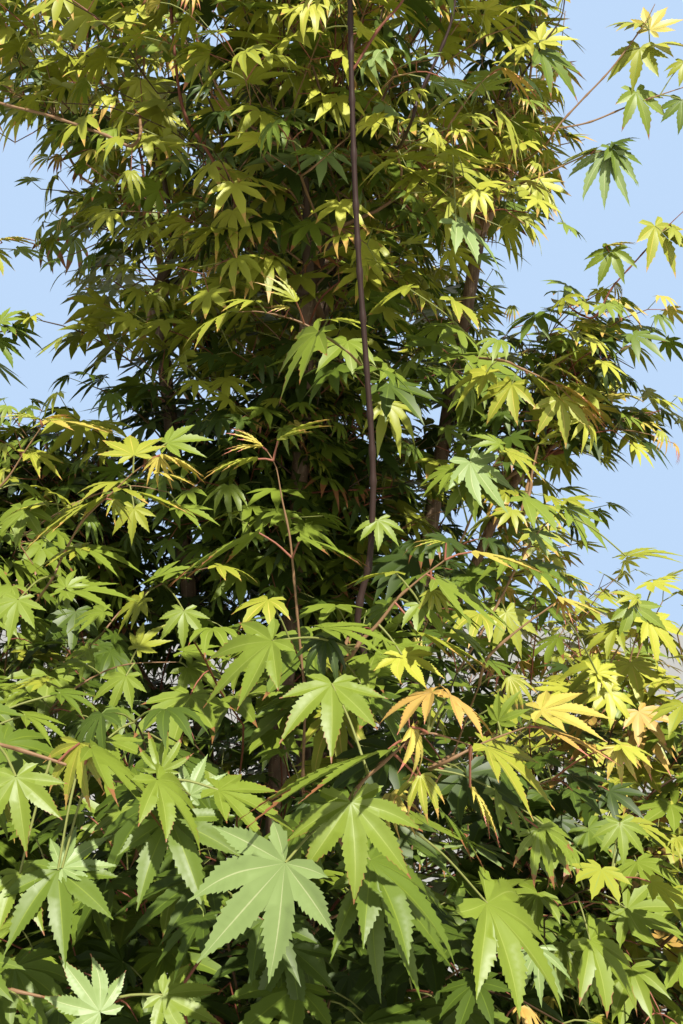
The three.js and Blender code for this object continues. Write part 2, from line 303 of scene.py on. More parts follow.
def limb_line(node, cuts, upright):
    """The middle points and radii of a limb, from its foot to its far end."""
    bm = merged_copy(node)
    places = np.array([v.co for v in bm.verts])
    middle = places.mean(axis=0)
    axis = UPWARD
    if not upright:
        axis = np.linalg.svd(places - middle)[2][0]
        farthest = places[np.argmax(np.hypot(places[:, 0], places[:, 1]))]
        axis = -axis if axis @ (farthest - middle) < 0 else axis
    reach = (places - middle) @ axis
    centres, spreads = [], []
    for share in np.linspace(END_CUT, 1 - END_CUT, cuts):
        point = middle + axis * (reach.min() + share * (reach.max() - reach.min()))
        geometry = bm.verts[:] + bm.edges[:] + bm.faces[:]
        cut = bmesh.ops.bisect_plane(bm, geom=geometry, plane_co=point, plane_no=axis)
        rim = np.array([e.co for e in cut["geom_cut"] if isinstance(e, bmesh.types.BMVert)])
        centres.append(rim.mean(axis=0))
        spreads.append(np.linalg.norm(rim - rim.mean(axis=0), axis=1).mean())
    bm.free()
    centres = np.array(centres)
    slope = np.gradient(centres, axis=0)
    slope /= np.linalg.norm(slope, axis=1)[:, None]
    radii = np.array(spreads) * np.sqrt(np.abs(slope @ axis))
    first = centres[0] - slope[0] * END_CUT * np.ptp(reach)
    last = centres[-1] + slope[-1] * END_CUT * np.ptp(reach)
    return np.vstack([first, centres, last]), np.hstack([radii[0], radii, radii[-1]])


limb_lines = {"trunk": limb_line("trunk", TRUNK_CUTS, True)}
for name in STEM_NAMES:
    limb_lines[name] = limb_line(name, STEM_CUTS, True)
for name in BOUGH_NAMES:
    limb_lines[name] = limb_line(name, BOUGH_CUTS, False)
for name, (line, radii) in limb_lines.items():
    print(name, "from", line[0].round(3), "to", line[-1].round(3), "radius", radii[[0, -1]].round(4))

# %% Smooth lines and the frames that carry a section along them
def unit(vectors):
    """Vectors of length one; a single one or an array of them."""
    length = np.linalg.norm(vectors, axis=-1, keepdims=True)
    return vectors / np.maximum(length, 1e-9)


def gaps(places, place):
    """How far each of some places is from one place."""
    return np.linalg.norm(places - place, axis=1)


def marks_of(line):
    """How far along a line each of its points stands."""
    return np.hstack([0, np.cumsum(np.linalg.norm(np.diff(line, axis=0), axis=1))])


def smooth_line(points, values, step):
    """A curve through the points, one place every step or so, with the values carried along."""
    points = np.asarray(points, float)
    padded = np.vstack([2 * points[0] - points[1], points, 2 * points[-1] - points[-2]])
    line, carried = [], []
    for i in range(len(points) - 1):
        a, b, c, d = padded[i : i + 4]
        count = max(1, round(np.linalg.norm(c - b) / step))
        t = (np.arange(count) / count)[:, None]
        line.append(0.5 * (2 * b + (c - a) * t + (2 * a - 5 * b + 4 * c - d) * t**2
                           + (3 * b - a - 3 * c + d) * t**3))
        carried.append(values[i] + (values[i + 1] - values[i]) * t[:, 0])
    return np.vstack([*line, points[-1:]]), np.hstack([*carried, values[-1:]])


def section_frames(line):
    """Two directions across the line at each of its points, turning as little as possible."""
    tangents = unit(np.gradient(line, axis=0))
    helper = np.eye(3)[np.argmin(np.abs(tangents).max(axis=0))]
    across = np.empty_like(tangents)
    held = unit(np.cross(tangents[0], helper))
    for i, tangent in enumerate(tangents):
        held = unit(held - tangent * (held @ tangent))
        across[i] = held
    return across, np.cross(tangents, across)


print("a smooth line of", len(smooth_line([[0, 0, 0], [0, 0, 1]], [1, 1], 0.1)[0]), "points")

# %% Put bark on a limb
RELIEF_STRETCH = 3.5
BOUGH_SINK = 0.006
MANY_POINTS = 1_000_000
# how far a stem's foot lies from the trunk's middle line, how deep, and how thick: as shares
STEM_ROOTS = np.array([(0.35, 0.115, 0.35), (0.55, 0.075, 0.70), (0.85, 0.035, 0.95)])
# step along the wood, sides round it, pitch and height of its relief
STEM_SKIN = (0.012, 18, 0.02, 0.0011)
BOUGH_SKIN = (0.011, 14, 0.014, 0.0007)
wood_places, wood_radii = [], []


def ring_tube(sides, count):
    """A bmesh tube of rings, each extruded from the last, with its rings and their angles."""
    bm = bmesh.new()
    rings = [bmesh.ops.create_circle(bm, cap_ends=False, segments=sides, radius=1.0)["verts"]]
    edges = bm.edges[:]
    for _ in range(count - 1):
        made = bmesh.ops.extrude_edge_only(bm, edges=edges)["geom"]
        rings.append([e for e in made if isinstance(e, bmesh.types.BMVert)])
        edges = [e for e in made if isinstance(e, bmesh.types.BMEdge)]
    return bm, rings, [math.atan2(v.co.y, v.co.x) for v in rings[0]]


def skin_limb(line, radii, sides, reach=None):
    """A bmesh tube along the line, closed at both ends; reach may give a radius per direction."""
    first, second = section_frames(line)
    bm, rings, angles = ring_tube(sides, len(line))
    for ring, centre, radius, across, beside in zip(rings, line, radii, first, second):
        for vert, angle in zip(ring, angles):
            out = across * math.cos(angle) + beside * math.sin(angle)
            vert.co = centre + out * (reach(centre, out, radius) if reach else radius)
    bmesh.ops.contextual_create(bm, geom=rings[0])
    bmesh.ops.contextual_create(bm, geom=rings[-1])
    bmesh.ops.recalc_face_normals(bm, faces=bm.faces[:])
    return bm


def roughen(bm, pitch, height):
    """Moves the skin in and out by a seeded noise, longer along the wood than across it."""
    bm.normal_update()
    for vert in bm.verts:
        x, y, z = vert.co
        place = Vector((x / pitch, y / pitch, z / (pitch * RELIEF_STRETCH)))
        vert.co += vert.normal * (noise.fractal(place, 0.9, 2.0, 4) * height)


def face_place(face):
    """A number that orders faces by their first and last points: extruding shuffles them."""
    numbers = [vert.index for vert in face.verts]
    return min(numbers) * MANY_POINTS + max(numbers)


def mesh_of(bm, name):
    """The bmesh as a smooth mesh, its faces in the same order each run."""
    bm.verts.index_update()
    bm.faces.sort(key=face_place)
    mesh = bpy.data.meshes.new(name)
    bm.to_mesh(mesh)
    bm.free()
    mesh.shade_smooth()
    return mesh


def finish_piece(mesh, materials, slot, *nodes):
    """Makes a mesh a piece that rides on the root, and hides the named CAD nodes that it takes the place
    of.
    """
    for material in materials:
        mesh.materials.append(material)
    piece = put_in_scene(mesh.name, mesh)
    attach(piece, "root")
    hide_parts(*nodes)


def bark_limb(node, material, slot, skin):
    """A limb with bark in place of its CAD node, its foot sunk a little into what carries it."""
    step, sides, pitch, height = skin
    points, radii = limb_lines[node]
    if node in STEM_NAMES:
        foot = points[0] * STEM_ROOTS[:, :1] - UPWARD * STEM_ROOTS[:, 1:2]
        foot[:, 2] += points[0][2] * (1 - STEM_ROOTS[:, 0])
        radii = np.hstack([radii[0] * STEM_ROOTS[:, 2], radii])
    else:
        foot = points[:1] - unit(points[1] - points[0]) * BOUGH_SINK
        radii = np.hstack([radii[0], radii])
    line, widths = smooth_line(np.vstack([foot, points]), radii, step)
    bm = skin_limb(line, widths, sides)
    roughen(bm, pitch, height)
    wood_places.append(line)
    wood_radii.append(widths)
    finish_piece(mesh_of(bm, node + "_wood"), [material], slot, node)


for name in STEM_NAMES:
    bark_limb(name, stem_bark, "bark", STEM_SKIN)
for name in BOUGH_NAMES:
    bark_limb(name, bough_bark, "young_bark", BOUGH_SKIN)
print(len(STEM_NAMES), "stems and", len(BOUGH_NAMES), "boughs have their bark")

# %% [markdown]
# ## The trunk
# The short trunk flares into root ridges at the ground and swells where the five stems part.
# A round skin would lose both, so each point of the skin is cast outwards from the middle line
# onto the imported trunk, and only then roughened.

# %% Trunk
CAST_REACH = 0.2
CAST_INSET = 0.995
GROUND_ROW = 0.0004
TRUNK_SIDES = 72
TRUNK_RELIEF = (0.024, 0.0016)
FORK_HEIGHT = 0.10
FORK_DRAW = 0.42
trunk_surface = BVHTree.FromBMesh(merged_copy("trunk"))


def trunk_reach(centre, out, radius):
    """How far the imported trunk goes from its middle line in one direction."""
    hit = trunk_surface.ray_cast(Vector(centre), Vector(out), CAST_REACH)
    return hit[3] * CAST_INSET if hit[3] else radius


def point_at(height, line):
    """The point of a line at a height."""
    return [np.interp(height, line[:, 2], line[:, 0]), np.interp(height, line[:, 2], line[:, 1]), height]


def trunk_piece():
    """The trunk from its flat cut at the ground to the fork."""
    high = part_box("trunk")[1].z
    points, radii = limb_lines["trunk"]
    rows = np.hstack([np.linspace(GROUND_ROW, 0.06, 14), np.linspace(0.066, high - 0.0015, 30)])
    line = np.array([point_at(z, points) for z in rows])
    bm = skin_limb(line, np.interp(rows, points[:, 2], radii), TRUNK_SIDES, trunk_reach)
    on_ground = [vert for vert in bm.verts if vert.co.z < 0.001]
    roughen(bm, *TRUNK_RELIEF)
    for vert in on_ground:
        vert.co.z = 0.0
    for vert in bm.verts:
        above = max(0.0, vert.co.z - high + FORK_HEIGHT) / FORK_HEIGHT
        middle = Vector(point_at(vert.co.z, line))
        vert.co = middle + (vert.co - middle) * (1 - FORK_DRAW * above**1.6)
    print("trunk has", len(bm.faces), "faces")
    finish_piece(mesh_of(bm, "trunk_wood"), [trunk_bark], "bark", "trunk")


trunk_piece()

# %% [markdown]
# ## One leaf
# A leaf of this maple has five long lobes and two small ones at the foot, like an open hand.
# A leaf could be cut from a flat card, but its lobes fold along their veins and droop to their
# tips, so each lobe is a small grid, pulled to the lobe's outline, turned to its place and welded
# to its neighbours. Kinds differ in how many faces they spend: far and plain ones for the
# thousands in the crown, veined ones in front, toothed and close ones for the few near the eye.

# %% The outline
# degrees and length of each lobe, and of each notch between two lobes
LOBES = ((-122, 0.37), (-78, 0.71), (-39, 0.93), (0, 1.0), (39, 0.93), (78, 0.71), (122, 0.37))
NOTCHES = ((-152, 0.10), (-101, 0.20), (-59, 0.29), (-19.5, 0.33),
           (19.5, 0.33), (59, 0.29), (101, 0.20), (152, 0.10))
SMALL_LOBE = 0.5
PROFILE_SHARE = (0.0, 0.10, 0.24, 0.40, 0.56, 0.70, 0.82, 0.92, 1.0)
PROFILE_WIDTH = (1.0, 1.13, 1.16, 1.00, 0.74, 0.46, 0.23, 0.10, 0.0)
EDGE_SWEEP = 0.25
TOOTH_SWEEP = 0.16
SICKLE = 0.05
TOOTH_OUT, TOOTH_IN = (0.5, 1.6), (-0.6, -0.3)
PLEAT_COLUMN = 0.5
PLEAT = 0.05
PLAIN_COLUMNS = (-1.0, 0.0, 1.0)
VEIN_COLUMNS = (-1.0, -0.085, 0.085, 1.0)
EDGE_COLUMNS = (-1.0, -0.9, -0.06, 0.06, 0.9, 1.0)
PLEAT_COLUMNS = (-1.0, -0.93, -0.5, -0.045, 0.045, 0.5, 0.93, 1.0)
# rows up a long lobe, rows up a small one, rows below the notches, columns, depth of the teeth
DETAIL = {
    "far": ((0.45,), (), (1.0,), PLAIN_COLUMNS, 0.0),
    "plain": ((0.35, 0.70), (), (1.0,), PLAIN_COLUMNS, 0.0),
    "veined": ((0.2, 0.40, 0.60, 0.80), (0.45,), (1.0,), VEIN_COLUMNS, 0.13),
    "toothed": (np.linspace(0.08, 0.92, 10), (0.45,), (0.5, 1.0), EDGE_COLUMNS, 0.12),
    "close": (np.linspace(0.04, 0.95, 19), (0.2, 0.4, 0.6, 0.8), (0.5, 1.0), PLEAT_COLUMNS, 0.12),
}


def polar(degrees, radius):
    """A point of the flat leaf: the middle lobe points along +Y."""
    turn = math.radians(degrees)
    return np.array([math.sin(turn) * radius, math.cos(turn) * radius])


def lobe_outline(detail, lobe, left, right, rng):
    """Left edge, middle and right edge of each row of one lobe, in the flat leaf."""
    degrees, length, sickle = lobe
    long_rows, small_rows, foot_shares, _, tooth = DETAIL[detail]
    tip = polar(degrees, length)
    along = tip / length
    beside = np.array([along[1], -along[0]])
    rows = [(np.zeros(2), np.zeros(2), np.zeros(2))]
    start = (left @ along + right @ along) / 2
    for share in foot_shares:
        rows.append((left * share, along * start * share * 1.02, right * share))
    width = (abs(left @ beside) + abs(right @ beside)) / 2
    for number, share in enumerate(long_rows if length > SMALL_LOBE else small_rows):
        swing = tooth * rng.uniform(*(TOOTH_IN if number % 2 else TOOTH_OUT))
        half = width * np.interp(share, PROFILE_SHARE, PROFILE_WIDTH) * (1 + swing)
        spot = along * (start + (length - start) * share) + beside * sickle * share**2
        edge = spot + along * (max(0.0, swing) * TOOTH_SWEEP + half * EDGE_SWEEP)
        rows.append((edge - beside * half, spot, edge + beside * half))
    rows.append((tip + beside * sickle,) * 3)
    return rows


print("outline of", len(LOBES), "lobes, widest row", max(PROFILE_WIDTH))

# %% Build a leaf
BLADE, VEIN, TIP = 0, 1, 2
LEAF_WELD = 1e-4
FIRST_LEAF_SEED = 50
TIP_FROM, CLOSED_TIP_FROM, NO_TIP = 0.92, 0.72, 2.0
CLOSED_LEAF = 0.8
# arch of the whole leaf, fold of its lobes, how far they spread, how slim they are, and wave
SHAPES = (
    (0.12, 0.18, 1.00, 1.00, 0.10), (0.34, 0.28, 0.98, 1.00, -0.14),
    (0.62, 0.36, 0.93, 1.00, 0.18), (0.95, 0.45, 0.82, 1.00, -0.16),
    (1.20, 0.58, 0.70, 0.95, 0.12), (1.50, 0.70, 0.55, 0.90, 0.10),
    (0.42, 0.30, 0.72, 0.85, 0.06), (0.55, 0.75, 0.60, 0.70, 0.16),
)
YOUNG_SHAPE = 5


def add_lobe(bm, part_layer, rows, columns, fold, tip_start):
    """Pulls a small grid to the outline of one lobe, folded up along its vein."""
    across = len(columns) - 1
    down = len(rows) - 1
    grid = bmesh.ops.create_grid(bm, x_segments=across, y_segments=down, size=1.0)["verts"]
    for face in {f for v in grid for f in v.link_faces}:
        middle = face.calc_center_median()
        column = int((middle.x + 1) / 2 * across)
        row = int((middle.y + 1) / 2 * down)
        is_vein = across > 2 and column == across // 2
        is_edge = across > 4 and column in (0, across - 1) and down * 0.5 < row
        is_tip = tip_start < 1 and (row >= down * tip_start - 1 or is_edge)
        face[part_layer] = VEIN if is_vein else TIP if is_tip else BLADE
    for vert in grid:
        column = columns[round((vert.co.x + 1) / 2 * across)]
        row = round((vert.co.y + 1) / 2 * down)
        left, middle, right = rows[row]
        edge = right if column > 0 else left
        half = np.linalg.norm(edge - middle)
        lift = half * abs(column) * fold
        if abs(column) == PLEAT_COLUMN:
            lift += PLEAT * half * (1 if row % 2 else -1)
        vert.co = (*(middle + (edge - middle) * abs(column)), lift)


def bend_leaf(bm, arch, wave):
    """Arches the whole leaf like an umbrella and gives it a slow wave."""
    for vert in bm.verts:
        reach = math.hypot(vert.co.x, vert.co.y)
        turn = math.atan2(vert.co.x, vert.co.y)
        lift = vert.co.z + wave * reach**2 * math.sin(2.3 * turn + 0.7)
        angle = arch * reach
        flat = math.sin(angle) / arch - lift * math.sin(angle)
        height = -(1 - math.cos(angle)) / arch + lift * math.cos(angle)
        vert.co = (math.sin(turn) * flat, math.cos(turn) * flat, height)


def face_corners(bm):
    """The numbers of the corners of each face."""
    bm.verts.index_update()
    return np.array([[v.index for v in f.verts] for f in bm.faces])


def leaf_shape(detail, form):
    """One leaf as arrays: places, triangles, and the part of the leaf each triangle shows."""
    arch, fold, spread, slim, wave = SHAPES[form]
    rng = np.random.default_rng(FIRST_LEAF_SEED + form)
    lobes = [(d * spread + rng.normal(0, 3), l * rng.uniform(0.88, 1.05),
              l * (rng.normal(0, SICKLE) - SICKLE * np.sign(d))) for d, l in LOBES]
    notches = [polar(d * spread, r * slim) for d, r in NOTCHES]
    bm = bmesh.new()
    part_layer = bm.faces.layers.int.new("part")
    for lobe, left, right in zip(lobes, notches, notches[1:]):
        rows = lobe_outline(detail, lobe, left, right, rng)
        tip_from = CLOSED_TIP_FROM if spread < CLOSED_LEAF else TIP_FROM
        tip_from = NO_TIP if lobe[1] < SMALL_LOBE else tip_from
        add_lobe(bm, part_layer, rows, DETAIL[detail][3], fold, tip_from)
    bmesh.ops.remove_doubles(bm, verts=bm.verts, dist=LEAF_WELD)
    bmesh.ops.triangulate(bm, faces=bm.faces[:])
    bend_leaf(bm, arch, wave)
    places = np.array([v.co for v in bm.verts])
    parts = np.array([f[part_layer] for f in bm.faces])
    triangles = face_corners(bm)
    bm.free()
    return places, triangles, parts


leaf_shapes = {(d, form): leaf_shape(d, form) for d in DETAIL for form in range(len(SHAPES))}
print({detail: len(leaf_shapes[detail, 0][1]) for detail in DETAIL}, "triangles a leaf")

# %% [markdown]
# ## Joined pieces
# Thousands of leaves as objects would be heavy, so copies of
# the leaf shapes are placed with arrays and joined: one piece of leaves and one of twigs for
# each mass. A pile gathers the copies, and is made a mesh once at the end.

# %% Piles of small things
STALK_RADIUS = 0.0006
STALK_SAG = 0.003
STALK_TAPER = (1.15, 0.35)
OFF_AXIS = np.array([0.31, 0.17, 0.93])
tube_shapes = {}


class Pile:
    """Places, triangles and colours of many small things that become one mesh."""

    def __init__(self):
        self.places, self.triangles, self.colours, self.size = [], [], [], 0

    def add(self, places, triangles, colours):
        """Adds copies: places (copies, points, 3), triangles (faces, 3), colours (copies, faces)."""
        copies, points = places.shape[:2]
        offsets = self.size + np.arange(copies) * points
        self.places.append(places.reshape(-1, 3))
        self.triangles.append((triangles[None] + offsets[:, None, None]).reshape(-1, 3))
        self.colours.append(np.broadcast_to(colours, (copies, len(triangles))).reshape(-1))
        self.size += copies * points

    def count(self):
        """How many triangles the pile holds."""
        return sum(len(t) for t in self.triangles)

    def mesh(self, name):
        """The pile as one mesh."""
        places = np.vstack(self.places)
        corners = np.vstack(self.triangles).astype(np.int32).ravel()
        mesh = bpy.data.meshes.new(name)
        mesh.vertices.add(len(places))
        mesh.vertices.foreach_set("co", places.astype(np.float32).ravel())
        mesh.loops.add(len(corners))
        mesh.loops.foreach_set("vertex_index", corners)
        mesh.polygons.add(len(corners) // 3)
        mesh.polygons.foreach_set("loop_start", np.arange(0, len(corners), 3, dtype=np.int32))
        mesh.polygons.foreach_set("material_index", np.hstack(self.colours).astype(np.int32))
        mesh.update(calc_edges=True)
        mesh.shade_smooth()
        return mesh


def tube_of(count, sides):
    """An open tube as a pattern, made once: ring and angle of each point, and the triangles."""
    if (count, sides) not in tube_shapes:
        bm, rings, _ = ring_tube(sides, count)
        for number, ring in enumerate(rings):
            bmesh.ops.translate(bm, verts=ring, vec=(0, 0, number))
        bmesh.ops.recalc_face_normals(bm, faces=bm.faces[:])
        bmesh.ops.triangulate(bm, faces=bm.faces[:])
        ring = np.array([round(v.co.z) for v in bm.verts])
        angle = np.array([math.atan2(v.co.y, v.co.x) for v in bm.verts])
        triangles = face_corners(bm)
        triangles = triangles[np.lexsort(triangles.T)]
        bm.normal_update()
        bm.faces.ensure_lookup_table()
        outwards = bm.faces[0].normal.dot(bm.faces[0].calc_center_median() * Vector((1, 1, 0)))
        tube_shapes[count, sides] = ring, angle, triangles if outwards > 0 else triangles[:, ::-1]
        bm.free()
    return tube_shapes[count, sides]


def add_twig(pile, line, radii, sides, colour):
    """Adds one twig along a line to a pile."""
    ring, angle, triangles = tube_of(len(line), sides)
    first, second = section_frames(line)
    out = first[ring] * np.cos(angle)[:, None] + second[ring] * np.sin(angle)[:, None]
    places = line[ring] + out * radii[ring][:, None]
    pile.add(places[None], triangles, np.full((1, len(triangles)), colour))


def add_stalks(pile, feet, heads, colours, rings, sides):
    """Adds many thin stalks at once, each from a foot to a head, with a slight sag."""
    ring, angle, triangles = tube_of(rings, sides)
    along = heads - feet
    across = unit(np.cross(along, OFF_AXIS))
    beside = unit(np.cross(along, across))
    share = (ring / (rings - 1))[None, :, None]
    middle = feet[:, None] + along[:, None] * share
    middle[..., 2] += (STALK_SAG * 4 * share * (1 - share))[..., 0]
    swing = across[:, None] * np.cos(angle)[None, :, None]
    swing = swing + beside[:, None] * np.sin(angle)[None, :, None]
    thick = STALK_RADIUS * (STALK_TAPER[0] - STALK_TAPER[1] * share)
    pile.add(middle + swing * thick, triangles, np.asarray(colours)[:, None])


def add_leaves(pile, shape, feet, axes, normals, sizes, colours):
    """Adds many copies of one leaf shape; colours give blade, vein and tip of each leaf."""
    places, triangles, parts = shape
    axes = unit(axes)
    sides = unit(np.cross(axes, normals))
    frames = np.stack([sides, axes, np.cross(sides, axes)], axis=2)
    placed = feet[:, None] + np.einsum("kij,nj->kni", frames, places) * sizes[:, None, None]
    pile.add(placed, triangles, colours[:, parts])


print("tube of 5 rings and 6 sides has", len(tube_of(5, 6)[2]), "triangles")

# %% [markdown]
# ## The sprays that the photograph shows close up
# A few shoots in front are sharp enough to be followed leaf by leaf: a dark leader that rises in
# front of the crown, a thin twig in the middle, and the yellow and coral young leaves beside it.
# Their twigs and leaves are listed by picture point and distance. They still grow from the tree:
# the foot of each twig is carried back to the nearest wood once the rest has grown.

# %% Twigs in front, by picture point
def rows_of(table):
    """The rows of a table in plain text, each cut into its words."""
    return [row.split() for row in table.splitlines() if row]


# name, colour, depth, radius at the foot and at the tip in mm, points across and down from the foot
TWIG_TABLE = """
leader dark_twig 0.93 2.8 2 360 640 359 606 368 569 371 544 372 521 373 486 372 449 369 400 366 360 \
357 230 352 100 350 0 347 -90 345 -190
leader_side red_twig 0.93 1.2 0.8 353 70 378 30 403 0 425 -45 440 -80
middle tan_twig 0.78 1 0.6 303 790 304 740 305 700 300 644 293 567 292 556 289 532 282 499 276 467 \
267 451
right_middle tan_twig 0.74 1.35 0.8 352 655 360 642 378 624 398 598 409 588 426 574 445 560
low_right tan_twig 0.7 1.1 0.7 440 765 483 743 526 727
far_right tan_twig 0.76 1.1 0.8 490 655 518 630 557 602
low_middle tan_twig 0.62 1.15 0.7 338 830 349 801 364 780 379 767 404 745 428 733 470 745
left tan_twig 0.85 0.9 0.6 51 581 58 566 68 546 81 523 96 507 114 491 133 473 152 459
low_left tan_twig 0.62 1.1 0.7 -12 742 20 750 58 762 90 773 121 782 158 779
bottom_left tan_twig 0.6 1.2 0.8 -15 985 20 992 60 1000 98 1003
edge_left tan_twig 0.95 1.1 0.7 -45 530 -20 505 6 480 25 451 42 426
inner_left tan_twig 1 0.8 0.6 96 640 120 612 150 590 185 574 215 566
inner_left_high tan_twig 1.04 0.8 0.6 60 512 92 496 130 486 168 492
inner_left_low tan_twig 0.9 0.8 0.6 60 700 95 676 130 664 180 662
high_left red_twig 1.21 2 1.4 236 204 228 186 207 150 182 105 170 0 166 -60 160 -130
high_left_sunlit tan_twig 1.17 1.5 1.1 284 149 262 134 225 100 190 20 180 -40 178 -110
far_left tan_twig 1.16 1.6 1.1 130 146 105 135 50 116 0 103 -50 85 -110 60
high_right dark_twig 1.05 1.6 1.2 412 120 418 98 436 60 451 22 458 -20 470 -90
high_middle tan_twig 0.98 1 0.7 352 356 335 343 300 322 262 312 238 312
right_spray tan_twig 1.06 1.2 0.8 498 360 520 368 556 385 574 402
upper_right tan_twig 1.1 1.1 0.7 448 128 470 96 486 78 497 72
sky_left tan_twig 1.2 1.3 0.8 -90 300 -50 268 -15 250 2 243
sky_left_low tan_twig 1.18 1.3 0.8 -90 368 -50 348 -15 335 8 330
sky_right_top dark_twig 1.3 1.2 0.8 508 96 530 64 546 40 562 15 566 -25
sky_right_high tan_twig 1.34 1.3 0.8 545 145 560 124 582 100 612 68 643 26 655 4
sky_right tan_twig 1.34 1.1 0.8 560 128 590 122 629 106 660 95 700 82
sky_right_middle tan_twig 1.32 1.1 0.7 535 178 562 166 590 154 608 150
sky_right_low red_twig 1.34 1.1 0.7 596 316 612 288 635 262 662 232 690 205
inner_right tan_twig 1.03 1.1 0.7 456 548 470 520 486 480 500 455
inner_right_low tan_twig 1 1.1 0.7 500 600 520 560 540 530 560 512
far_right_low tan_twig 1.05 1.1 0.7 600 690 612 660 628 632 640 610
right_limb tan_twig 1.24 2.2 1.6 524 512 530 490 532 473 538 446
"""
FRONT_TWIGS = []
for name, colour, *numbers in rows_of(TWIG_TABLE):
    depth, foot, tip, *points = map(float, numbers)
    FRONT_TWIGS.append((name, colour, depth, foot, tip, list(zip(points[::2], points[1::2]))))
print(len(FRONT_TWIGS), "twigs in front")
